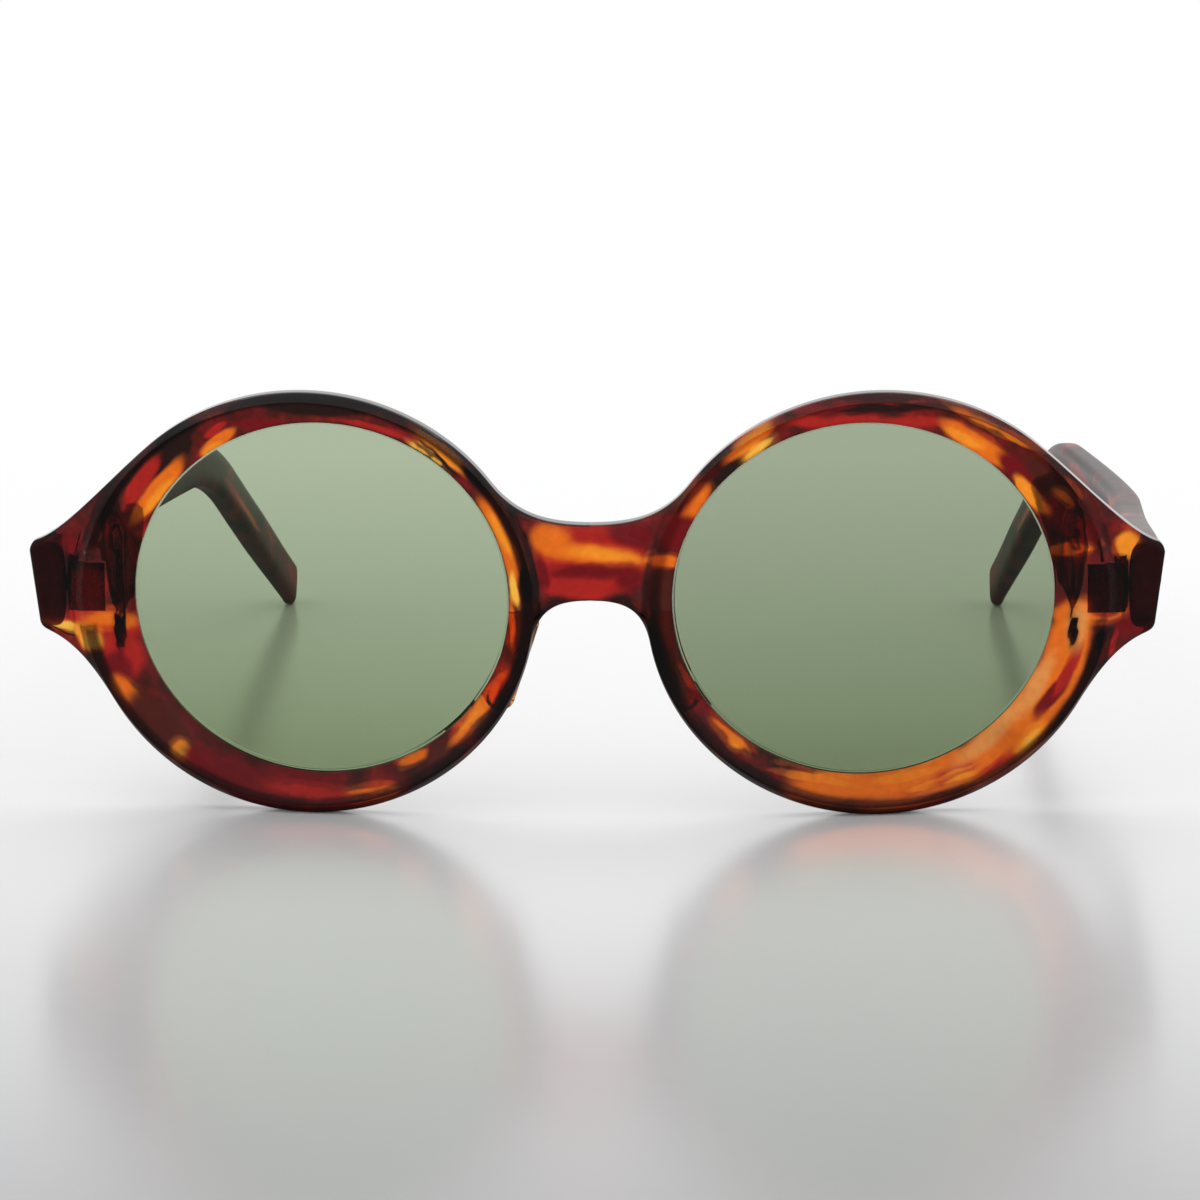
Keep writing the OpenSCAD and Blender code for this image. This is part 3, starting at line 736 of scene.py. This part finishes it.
def edge_shade_group():
    """Painted shade on see-through plastic: a deeper tone where its surface turns away from the
    wrapped sheet's own faces, and in a line just inside each rim's outer oval: a tint of 1
    elsewhere."""
    group, given, result = new_group(
        "painted_edge_shade",
        [("Vector", "Place", None), ("Color", "Side", (0.1, 0.06, 0.05, 1)),
         ("Color", "Top", (0.5, 0.4, 0.35, 1))],
        [("Color", "Tint")])
    place = parts_of(group, given["Place"])
    bow = maths(group, "DIVIDE", place["X"], WRAP_R)
    ahead = maths(group, "SUBTRACT", 1.0, maths(group, "MULTIPLY", bow, bow))
    ahead = maths(group, "MULTIPLY", maths(group, "SQRT", ahead), -1.0)
    facing = put(group, "ShaderNodeTexCoord").outputs["Normal"]
    flat = vector_maths(
        group, "DOT_PRODUCT", {0: facing, 1: vector_of(group, bow, ahead, 0.0)}, "Value")
    flat = maths(group, "ABSOLUTE", flat)
    # painted shade: full where the surface turns away from the sheet's own faces
    turned = remap(group, flat, TURNED, SQUARE_ON, 1.0, 0.0, soft=True)

    across = maths(group, "ABSOLUTE", place["X"])
    u = maths(group, "DIVIDE", maths(group, "SUBTRACT", across, RIM_X), RIM_A)
    v = maths(group, "DIVIDE", maths(group, "SUBTRACT", place["Z"], RIM_C), RIM_C)
    square_u, square_v = maths(group, "MULTIPLY", u, u), maths(group, "MULTIPLY", v, v)
    reach = maths(group, "SQRT", maths(group, "ADD", square_u, square_v))
    # painted shade: a dark line just inside the rim's outer oval
    rise = remap(group, reach, *SHADE_LINE_RISE)
    fall = remap(group, reach, *SHADE_LINE_FALL, SHADE_LINE_DEPTH, 0.0)
    share = maths(group, "MAXIMUM", turned, maths(group, "MULTIPLY", rise, fall))

    beside = remap(group, across, *KNEE_INNER)
    inside = remap(group, across, *KNEE_OUTER, 1.0, 0.0)
    level = maths(group, "ABSOLUTE", maths(group, "SUBTRACT", place["Z"], HINGE_Z))
    level = remap(group, level, *KNEE_LEVEL, 1.0, 0.0)
    knee = maths(group, "MULTIPLY", maths(group, "MULTIPLY", beside, inside), level)
    share = maths(group, "MULTIPLY", share, maths(group, "SUBTRACT", 1.0, knee))
    # painted light and shade: the top edges take the Top colour, the sides the Side colour
    upward = remap(group, v, *SIDE_TO_TOP, soft=True)
    tint = mix_colour(group, upward, given["Side"], given["Top"])
    group.links.new(mix_colour(group, share, NO_PAINTED_SHADE, tint), result["Tint"])
    return group


STREAK = streak_group()
PAINTED_EDGE_SHADE = edge_shade_group()


def tortoise_material(name, ground, streaks, plane="xz", wobble=0.55, clear=1.0,
                      side_shade=(0.02, 0.012, 0.012, 1), top_shade=(0.03, 0.015, 0.012, 1),
                      roughness=0.02):
    """See-through mottled plastic: streaks of tone laid over a ground, edges broken by noise.
    A streak is (across, up, half length, half width, turn in degrees, tone, softness)."""
    material, tree = new_material(name)
    place = vector_maths(tree, "MULTIPLY", {0: object_place(tree), 1: (1 / MM, 1 / MM, 1 / MM)})
    moved = place
    for scale, reach in SWIRLS:
        swirl = noise(tree, place, scale, 1.0)["Color"]
        swirl = vector_maths(tree, "SUBTRACT", {0: swirl, 1: (0.5, 0.5, 0.5)})
        swirl = vector_maths(tree, "SCALE", {0: swirl, "Scale": wobble * reach})
        moved = vector_maths(tree, "ADD", {0: moved, 1: swirl})
    flat = parts_of(tree, moved)
    across, up = (flat[axis.upper()] for axis in plane)
    sheet = vector_of(tree, across, up, 0.0)

    mottle = noise(tree, moved, MOTTLE_SCALE, 3.0, roughness=0.6)["Fac"]
    colour = tone_ramp(tree, mottle, [(at, TONES[tone]) for at, tone in ground], "B_SPLINE")
    for x, z, length, width, turn, tone, softness in streaks:
        mask = use_group(tree, STREAK, {
            "Place": sheet, "Middle": (x, z, 0), "Size": (length, width, 1),
            "Turn": (0, 0, math.radians(turn)), "Softness": STREAK_SOFTNESS * softness})
        colour = mix_colour(tree, mask.outputs["Mask"], colour, (*TONES[tone], 1))

    # painted shade on the turned edges and in a line inside each rim's outer oval
    edge = use_group(tree, PAINTED_EDGE_SHADE, {"Place": place, "Side": side_shade, "Top": top_shade})
    colour = vector_maths(tree, "MULTIPLY", {0: colour, 1: edge.outputs["Tint"]})
    haze = noise(tree, place, HAZE_SCALE, 4.0, roughness=0.55)["Fac"]
    colour = vector_maths(tree, "SCALE", {0: colour, "Scale": remap(tree, haze, *HAZE)})

    wear = noise(tree, place, WEAR_SCALE, 3.0)["Fac"]
    ripple = noise(tree, place, RIPPLE_SCALE, 1.0)["Fac"]
    finish_with(tree, put(tree, "ShaderNodeBsdfPrincipled", {
        "Base Color": colour, "Roughness": remap(tree, wear, 0.0, 1.0, roughness, roughness + WEAR),
        "IOR": PLASTIC_IOR, "Transmission Weight": clear,
        "Normal": bump(tree, ripple, RIPPLE, RIPPLE_H)}))
    return material


# -------------------- lens tint and metals

LENS_IOR, SMEAR_SCALE, SMEAR_ROUGH = 1.5, 60.0, 0.012
# The lens's colour over its height in metres, darker towards the bottom, as (share, colour) rows
LENS_LOW, LENS_HIGH = 0.004, 0.05
LENS_TINTS = [
    (0.08, (0.239, 0.307, 0.171)), (0.47, (0.331, 0.407, 0.269)), (0.88, (0.435, 0.514, 0.366))]
# Noise scales of brushed metal, in repeats a metre, and its tarnish, roughness and groove depth
GRAIN_SCALE, STAIN_SCALE = 1000.0, 700.0
TARNISH, SMOOTHER, ROUGHER, GROOVE = 0.72, 0.6, 1.4, 0.02 * MM


def lens_material(name, depth):
    """Green lens colour, darker towards the bottom, with faint wipe marks."""
    material, tree = new_material(name)
    place = object_place(tree)
    share = remap(tree, parts_of(tree, place)["Z"], LENS_LOW, LENS_HIGH)
    tints = [(at, tuple(c * depth for c in tint)) for at, tint in LENS_TINTS]
    smear = noise(tree, place, SMEAR_SCALE, 3.0)["Fac"]
    finish_with(tree, put(tree, "ShaderNodeBsdfPrincipled", {
        "Base Color": tone_ramp(tree, share, tints),
        "Roughness": remap(tree, smear, 0.0, 1.0, 0.0, SMEAR_ROUGH), "IOR": LENS_IOR,
        "Transmission Weight": 1.0}))
    return material


def metal_material(name, colour, roughness, grain_way, grain=0.35):
    """Plated metal with fine brushing along one way and slight tarnish."""
    material, tree = new_material(name)
    place = object_place(tree)
    along = put(tree, "ShaderNodeMapping", {"Vector": place, "Scale": grain_way}).outputs[0]
    lines = noise(tree, along, GRAIN_SCALE, 3.0)["Fac"]
    stain = noise(tree, place, STAIN_SCALE, 3.0)["Fac"]
    darker = tuple(c * TARNISH for c in colour)
    rough = remap(tree, lines, 0.0, 1.0, roughness * SMOOTHER, roughness * ROUGHER)
    finish_with(tree, put(tree, "ShaderNodeBsdfPrincipled", {
        "Base Color": mix_colour(tree, stain, (*darker, 1), (*colour, 1)), "Metallic": 1.0,
        "Roughness": rough, "Normal": bump(tree, lines, grain, GROOVE)}))
    return material


def dress(obj, material):
    """Gives an object one material."""
    obj.data.materials.clear()
    obj.data.materials.append(material)


# -------------------- stage

# The camera as fitted to the picture's outline: place in millimetres, turns, and lens
CAMERA_AT = (36.2, APEX_Y - 700, 153.2)
CAMERA_PITCH, CAMERA_YAW, CAMERA_ROLL = (math.radians(a) for a in (10.19, -2.86, -0.4))
CAMERA_LENS, CAMERA_SENSOR = 176.63, 36
CAMERA_CLIP = (0.02, 20)
# The table, in metres: its half size, where it fades to white, where its painted shade lifts from
# near to middle, and where the painted shade that gloss sees on it ends
TABLE_HALF, TABLE_FADE, TABLE_NEAR_SHADE, TABLE_REFLECTION_SHADE = 3, (0.05, 0.30), (-0.25, -0.05), (0.16, 0.30)
SHADED_NEAR_TONE, MIDDLE_TONE = (0.37, 0.37, 0.38, 1), (0.87, 0.87, 0.88, 1)
BLACK, WHITE = (0.0, 0.0, 0.0, 1), (1, 1, 1, 1)
REFLECTION_SHADE, TABLE_IOR, TABLE_GRAIN, TABLE_ROUGH = 0.85, 2.0, 240.0, (0.17, 0.22)
# The world, by the ray's way: what gloss sees behind the object and above it, and what glass
# sees from level to above, each as (way from, way to, strength from, strength to)
SKY_BEHIND = (0.78, 0.97, 0.25, 1.0)
SKY_ABOVE = (0.35, 0.75, 0.0, 0.5)
SKY_THROUGH = (0.3, 0.7, 1.0, 0.05)


def place_in_scene(name, data):
    """A new object in the scene."""
    obj = bpy.data.objects.new(name, data)
    bpy.context.scene.collection.objects.link(obj)
    return obj


def make_camera():
    """The camera, fitted to the picture's outline."""
    data = bpy.data.cameras.new("camera")
    data.sensor_width, data.lens = CAMERA_SENSOR, CAMERA_LENS
    data.clip_start, data.clip_end = CAMERA_CLIP
    camera = place_in_scene("camera", data)
    camera.location = Vector(CAMERA_AT) * MM
    turn = Matrix.Rotation(-CAMERA_YAW, 3, "Z") @ Matrix.Rotation(
        math.pi / 2 - CAMERA_PITCH, 3, "X") @ Matrix.Rotation(CAMERA_ROLL, 3, "Z")
    camera.rotation_euler = turn.to_euler()
    bpy.context.scene.camera = camera
    bpy.context.scene.view_settings.view_transform = "Standard"


def table_material():
    """A pale, half-glossy top that fades to white, with painted shade: darker towards the camera,
    and darker again where gloss sees it, as painted shade in its reflections.
    """
    material, tree = new_material("table_white")
    place = object_place(tree)
    far = parts_of(tree, place)["Y"]
    fade = remap(tree, far, *TABLE_FADE, soft=True)
    # painted shade: the table darkens towards the camera
    tone = mix_colour(tree, remap(tree, far, *TABLE_NEAR_SHADE), SHADED_NEAR_TONE, MIDDLE_TONE)
    rays = put(tree, "ShaderNodeLightPath").outputs
    # painted shade in reflections: gloss sees the nearer table much darker
    seen_by_gloss = maths(
        tree, "SUBTRACT", rays["Is Glossy Ray"], rays["Is Transmission Ray"], clamp=True)
    reflection_shade = maths(tree, "MULTIPLY", remap(tree, far, *TABLE_REFLECTION_SHADE, REFLECTION_SHADE, 0.0), seen_by_gloss)
    tone = mix_colour(tree, reflection_shade, tone, BLACK)
    fade = maths(tree, "MULTIPLY", fade, maths(tree, "SUBTRACT", 1.0, reflection_shade))
    grain = noise(tree, place, TABLE_GRAIN, 3.0)["Fac"]
    shader = put(tree, "ShaderNodeBsdfPrincipled", {
        "Base Color": tone, "Roughness": remap(tree, grain, 0.0, 1.0, *TABLE_ROUGH),
        "IOR": TABLE_IOR})
    light = put(tree, "ShaderNodeEmission", {"Color": WHITE, "Strength": 1.0})
    mixed = put(tree, "ShaderNodeMixShader", {0: fade, 1: shader.outputs[0], 2: light.outputs[0]})
    finish_with(tree, mixed)
    return material


def make_floor():
    """The table that the object stands on."""
    mesh = bpy.data.meshes.new("table_top")
    corners = [(x * TABLE_HALF, y * TABLE_HALF, 0) for x, y in ((-1, -1), (1, -1), (1, 1), (-1, 1))]
    mesh.from_pydata(corners, [], [(0, 1, 2, 3)])
    table = place_in_scene("table_top", mesh)
    dress(table, table_material())


def make_world():
    """White all round to the camera and through glass, dimmer to gloss ahead of the object, and a
    plain soft level for the light itself."""
    world = bpy.data.worlds.new("studio")
    bpy.context.scene.world = world
    world.use_nodes = True
    tree = world.node_tree
    tree.nodes.clear()
    way = parts_of(tree, put(tree, "ShaderNodeTexCoord").outputs["Generated"])
    behind = remap(tree, way["Y"], *SKY_BEHIND, soft=True)
    behind = maths(tree, "MAXIMUM", behind, remap(tree, way["Z"], *SKY_ABOVE, soft=True))
    through = remap(tree, way["Z"], *SKY_THROUGH, soft=True)
    rays = put(tree, "ShaderNodeLightPath").outputs
    bright = 1.0
    seen_by = (("Is Glossy Ray", behind), ("Is Transmission Ray", through), ("Is Camera Ray", 1.0))
    for ray, strength in seen_by:
        bright = put(tree, "ShaderNodeMix", {0: rays[ray], 2: bright, 3: strength},
                     data_type="FLOAT").outputs[0]
    sky = put(tree, "ShaderNodeBackground", {"Color": WHITE, "Strength": bright})
    finish_with(tree, sky, "World")


def make_lamp(name, place, aim, size, power):
    """A flat lamp, placed and aimed in metres."""
    data = bpy.data.lights.new(name, "AREA")
    data.shape, data.size, data.size_y, data.energy = "RECTANGLE", size[0], size[1], power
    lamp = place_in_scene(name, data)
    lamp.location = place
    lamp.rotation_euler = (Vector(aim) - Vector(place)).to_track_quat("-Z", "Y").to_euler()


# -------------------- the tortoise pattern

# Grounds, as (position on the noise, tone) rows
FRONT_GROUND = [(0.34, "dark"), (0.46, "brown"), (0.56, "deep"), (0.68, "red"), (0.80, "orange")]
PAD_GROUND = [(0.30, "orange"), (0.42, "amber"), (0.55, "yellow"), (0.75, "amber")]
TEMPLE_GROUND = [(0.42, "dark"), (0.54, "brown"), (0.64, "deep"), (0.76, "red"), (0.88, "orange")]
# Streaks, laid one over the other: (across, up, half length, half width, turn, tone, softness)
BRIDGE_STREAKS = [
    # The first three streaks, dark, are painted shade: a dark line along the nose arch's lower edge
    (0, BRIDGE_LOW_Z + 0.1, 5.6, 0.45, 0, "dark", 0.4),
    (5.6, BRIDGE_LOW_Z - 1.2, 2, 0.45, -52, "dark", 0.4),
    (-5.6, BRIDGE_LOW_Z - 1.2, 2, 0.45, 52, "dark", 0.4), (-0.1, 31.7, 7.1, 4.6, 0, "red", 0.2),
    (-4.8, 34.1, 2.5, 1.9, -10, "orange", 0.5), (0.6, 32.3, 6.4, 1.2, -6, "orange", 0.5),
    (1.9, 32.2, 4.4, 0.8, -6, "amber", 0.7), (5, 34.8, 2.7, 1.5, -10, "deep", 0.4),
    (-5.9, 30.3, 2.5, 0.8, 105, "deep", 0.5), (0.2, 30.3, 5.6, 0.8, 0, "deep", 0.6),
    (-1.5, 28.2, 4.4, 1, 0, "red", 0.4), (5, 29.6, 1.9, 1.5, 0, "deep", 0.5),
]
LEFT_RIM_STREAKS = [
    (33, 4, 9, 2.3, 0, "orange", 0.35), (42, 4.6, 9, 2.6, 17, "orange", 0.35),
    (51.5, 10.4, 9, 3.4, 47, "orange", 0.35), (57.6, 19.3, 7, 2.6, 74, "orange", 0.35),
    (45, 4.2, 8, 1.1, 20, "red", 0.6), (19.6, 46.7, 4.1, 1, 40, "orange", 0.4),
    (19.6, 46.7, 3.4, 0.6, 40, "amber", 0.5), (19.8, 45, 2.6, 0.6, 38, "yellow", 0.5),
    (16.2, 42.2, 3.2, 1.1, 48, "dark", 0.4), (12.3, 38.3, 3.4, 0.9, 58, "orange", 0.4),
    (11, 35.2, 2.6, 2.2, 0, "deep", 0.4), (9, 32, 2.2, 0.9, 0, "orange", 0.4),
    (8.6, 27.8, 3.2, 1.9, 90, "brown", 0.4), (9.2, 21.6, 4.7, 1.9, 82, "brown", 0.4),
    (63.1, 20.1, 2.6, 0.4, 62, "red", 0.5), (60.8, 24.2, 4.7, 1.5, 0, "orange", 0.35),
    (62.6, 24.6, 2.2, 0.9, 0, "deep", 0.4), (59.9, 28, 3.7, 2.2, 0, "brown", 0.35),
    (62.5, 26.8, 2.4, 3, 0, "deep", 0.5), (58.3, 31.8, 2.6, 0.8, 0, "orange", 0.4),
    (58.5, 35.6, 3.7, 2.2, -40, "deep", 0.4), (65, 32, 1.6, 1.5, 90, "amber", 0.4),
    (67.7, 27.4, 5, 2.6, 90, "red", 0.4), (65.6, 22.2, 2.6, 1.2, 10, "deep", 0.4),
    # Painted shade: the dark streak at (33.3, 50.4) is a dark line along the top crest
    (32.9, 48.5, 10.3, 0.9, -1, "red", 0.4), (33.3, 50.4, 12.9, 0.5, -1, "dark", 0.5),
    (46.7, 45.5, 5.2, 1.3, -34, "orange", 0.35), (45.2, 46.2, 2.6, 0.6, -30, "amber", 0.6),
    (51.9, 42, 3.4, 1.2, -42, "deep", 0.4), (53.5, 38.9, 3.2, 0.9, -54, "amber", 0.4),
    # Painted shade: the dark streak at (56.7, 42.9) is a dark line along the upper outer edge
    (56.5, 39.8, 6, 1.5, -48, "brown", 0.35), (56.7, 42.9, 7.7, 0.6, -40, "dark", 0.5),
    (29.5, 51, 7.3, 0.9, 9, "deep", 0.4), (11.8, 17.2, 2.5, 0.4, -62, "orange", 0.4),
    (8.7, 19.3, 5.6, 1.1, -65, "dark", 0.4), (9.3, 16, 1.2, 0.2, -60, "red", 0.5),
    (13.8, 13.5, 3.7, 1, -48, "deep", 0.4), (16.8, 10.1, 3.5, 0.7, -42, "orange", 0.4),
    (17.4, 8.7, 0.9, 0.5, -40, "amber", 0.6), (19.2, 4.7, 5.6, 0.9, -33, "dark", 0.4),
    (32.3, 3.2, 8.7, 1, 2, "orange", 0.35), (26.9, 5.2, 5, 0.5, -12, "amber", 0.4),
    (38.3, 5.1, 4, 0.6, 10, "amber", 0.4), (40.8, 2.7, 2.7, 0.5, 12, "amber", 0.5),
    (44.8, 4, 2.7, 0.7, 22, "amber", 0.4), (48.1, 6.1, 2.5, 0.7, 35, "orange", 0.4),
    (48.8, 9.7, 5.8, 1.1, 42, "cream", 0.8), (54.2, 15.2, 4.1, 1, 62, "cream", 0.8),
    (53.4, 8.4, 2.7, 0.9, 45, "amber", 0.4), (53.6, 8.5, 1.5, 0.4, 45, "yellow", 0.6),
    (56, 13.8, 3.2, 0.9, 50, "deep", 0.4), (58, 16.9, 3.7, 0.6, 62, "red", 0.4),
    (49, 47.5, 7.4, 0.6, -28, "amber", 0.4), (53.1, 39.3, 2.7, 0.6, -50, "amber", 0.4),
    (57, 38.6, 1.7, 0.7, -40, "orange", 0.4), (59, 22.2, 2.8, 1.2, 84, "cream", 0.8),
    (65, 27, 3.4, 0.45, 90, "dark", 0.6),
]
RIGHT_RIM_STREAKS = [
    # Painted shade: the dark streaks at (-33.2, 51.1), over the top crest and outer edge, and at
    # (-53.1, 43.3), along the upper outer crest
    (-33.2, 51.1, 10.4, 1.7, -3, "dark", 0.3), (-53.1, 43.3, 9.5, 1.5, 48, "dark", 0.35),
    (-22.2, 49.2, 5, 1.2, -28, "dark", 0.35), (-46.7, 49.7, 3.7, 1, 22, "orange", 0.35),
    (-50.1, 43, 2.5, 0.9, 55, "brown", 0.5), (-55.6, 40.3, 4.1, 1.1, 55, "red", 0.4),
    (-57.6, 38.9, 3.3, 0.9, 58, "brown", 0.5), (-58.2, 31.6, 3.1, 2.5, 0, "brown", 0.4),
    (-60.5, 27.2, 4.6, 2.5, 0, "brown", 0.4), (-65.3, 28.2, 5, 4.4, 90, "dark", 0.4),
    (-64.8, 31.7, 2.1, 1.2, 30, "deep", 0.5), (-61.9, 22.8, 6.2, 1.7, -8, "red", 0.4),
    (-59.5, 22.9, 3.1, 1.2, 0, "orange", 0.5), (-65.5, 21.9, 2.7, 0.7, -10, "yellow", 0.5),
    (-62.2, 20.8, 2.1, 1.2, -40, "amber", 0.5), (-61.8, 20.2, 1, 0.9, 0, "yellow", 0.6),
    (-58, 18.7, 2.9, 2.5, -45, "red", 0.4), (-58.7, 16.9, 2.1, 1.7, 120, "deep", 0.5),
    (-57.7, 14.2, 2.5, 1.2, -45, "orange", 0.4), (-53.4, 10.3, 5, 2.5, -42, "brown", 0.3),
    (-50.8, 7, 1.3, 1.2, -45, "amber", 0.5), (-50.5, 6.5, 0.6, 0.6, 0, "yellow", 0.6),
    (-44.3, 4.3, 7.1, 1.9, -22, "deep", 0.35), (-34.8, 2.5, 5.8, 1, -5, "red", 0.5),
    (-35.7, 4.6, 5, 0.9, -8, "deep", 0.5), (-8.7, 21.5, 5.8, 1.7, 85, "brown", 0.35),
    (-9.6, 24.5, 3.3, 0.4, 88, "orange", 0.5), (-10.9, 34.2, 5.4, 1.3, -66, "orange", 0.35),
    (-10.9, 35, 2.9, 0.6, -65, "amber", 0.6), (-9.1, 28.3, 2, 0.5, -80, "yellow", 0.5),
    (-7.6, 29.1, 2.5, 0.8, -85, "dark", 0.4), (-17.5, 44.9, 5, 0.7, -38, "amber", 0.4),
    (-19.4, 44.5, 3.3, 0.7, -36, "yellow", 0.4), (-18.3, 44.4, 4.1, 0.2, -38, "dark", 0.5),
    (-32.8, 47.8, 11.2, 0.9, -2, "deep", 0.4), (-25.6, 47.7, 4.6, 0.5, -14, "red", 0.5),
    (-13.5, 41.8, 2.5, 0.8, -50, "dark", 0.5), (-18.2, 3.7, 5, 1, 28, "dark", 0.35),
    (-10.3, 13.1, 6.2, 1.1, 58, "dark", 0.35), (-26.9, 2.8, 3.4, 0.7, 8, "orange", 0.4),
    (-21.6, 6.8, 2.3, 0.8, 25, "orange", 0.4), (-18.6, 7.7, 1.7, 1, 35, "brown", 0.4),
    (-13.6, 13.7, 5.8, 1, 55, "orange", 0.35), (-14.8, 12.1, 2.3, 0.6, 52, "amber", 0.5),
    (-45.6, 45.7, 2.9, 0.8, 38, "orange", 0.35), (-46.3, 44.8, 1.7, 0.6, 38, "amber", 0.5),
    (-45.8, 47.2, 1.7, 0.5, 38, "red", 0.4), (-50.5, 44.2, 2.5, 1, 50, "dark", 0.35),
    (-53.5, 39.3, 5.2, 1.1, 52, "orange", 0.35), (-53.3, 38.8, 2.9, 0.6, 52, "amber", 0.5),
    (-55.8, 40.5, 3.2, 0.7, 55, "red", 0.4), (-62.5, 26.8, 2.4, 3, 0, "red", 0.5),
    (-67.7, 27.4, 5, 2.6, 90, "red", 0.4), (-65, 27.6, 4.2, 0.45, 90, "dark", 0.6),
]
TEMPLE_STREAKS = [
    (-59, 26, 9, 6, 90, "deep", 0.5), (-61, 20, 3, 3, 60, "orange", 0.5),
    (-48, 28, 9, 1.6, 4, "orange", 0.4), (-46, 28.4, 5, 0.7, 4, "amber", 0.6),
    (-30, 25, 8, 1.4, -6, "deep", 0.5), (-16, 27.5, 10, 1.3, 5, "red", 0.5),
    (-14, 27.8, 6, 0.7, 5, "orange", 0.6), (4, 26, 9, 1.2, -4, "deep", 0.4),
    (18, 27.4, 8, 1, 3, "red", 0.5), (34, 25.5, 7, 1.1, -12, "brown", 0.4),
    (50, 18.6, 8, 0.9, -34, "red", 0.5), (52, 17.2, 5, 0.45, -36, "orange", 0.6),
    (72, 4.5, 6, 3.4, -36, "deep", 0.6), (73, 3.6, 4, 1.2, -36, "red", 0.7),
]

# -------------------- the object, dressed

front = make_front()
lenses = make_pair("lens_glass", lens_mesh, "lens_green", "lens", LENS_CREASE)
pads = make_pair("nose_rest", pad_mesh, "tortoise_pad", "nose_pad", CUT_CREASE)
temples = make_temples()

# Painted light: the left rim's top edges get a paler tint than its sides and than the right rim's
# top edges
LEFT_TOP_PAINTED_LIGHT = (0.55, 0.32, 0.2, 1)
# How deep the tint of each lens is, left and right
LENS_DEPTHS = (0.83, 1.0)
dress(front, tortoise_material(
    "tortoise_left_rim", FRONT_GROUND, BRIDGE_STREAKS + LEFT_RIM_STREAKS,
    top_shade=LEFT_TOP_PAINTED_LIGHT))
front.data.materials.append(tortoise_material(
    "tortoise_right_rim", FRONT_GROUND, BRIDGE_STREAKS + RIGHT_RIM_STREAKS))
for face in front.data.polygons:
    face.material_index = int(face.center.x < 0)
for piece in temples:
    dress(piece, tortoise_material(
        "tortoise_" + piece.name, TEMPLE_GROUND, TEMPLE_STREAKS, plane="yz", clear=0.4,
        side_shade=NO_PAINTED_SHADE, top_shade=NO_PAINTED_SHADE, roughness=0.3))
pad_plastic = tortoise_material(
    "tortoise_pad", PAD_GROUND, [], side_shade=NO_PAINTED_SHADE, top_shade=NO_PAINTED_SHADE)
for piece in pads:
    dress(piece, pad_plastic)
for piece, depth in zip(lenses, LENS_DEPTHS):
    dress(piece, lens_material(piece.name + "_green", depth))

nickel = metal_material("hinge_nickel", (0.66, 0.63, 0.57), 0.28, (1, 0.05, 1))
METALS = {
    "hinge_front_leaf": nickel,
    "hinge_temple_leaf": nickel,
    "hinge_screw": metal_material("screw_steel", (0.74, 0.72, 0.68), 0.2, (1, 1, 0.05)),
    "temple_rivets": metal_material("rivet_steel", (0.78, 0.78, 0.80), 0.16, (1, 1, 1), 0.1),
    "temple_core": metal_material("core_wire", (0.62, 0.59, 0.52), 0.3, (1, 0.03, 1)),
}
for name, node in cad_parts.items():
    for start, metal in METALS.items():
        if name.startswith(start):
            dress(node, metal)

make_camera()
make_floor()
make_world()
make_lamp("top_softbox", place=(0.0, 0.55, 0.9), aim=(0, 0, 0.02), size=(1.2, 0.5), power=2.0)
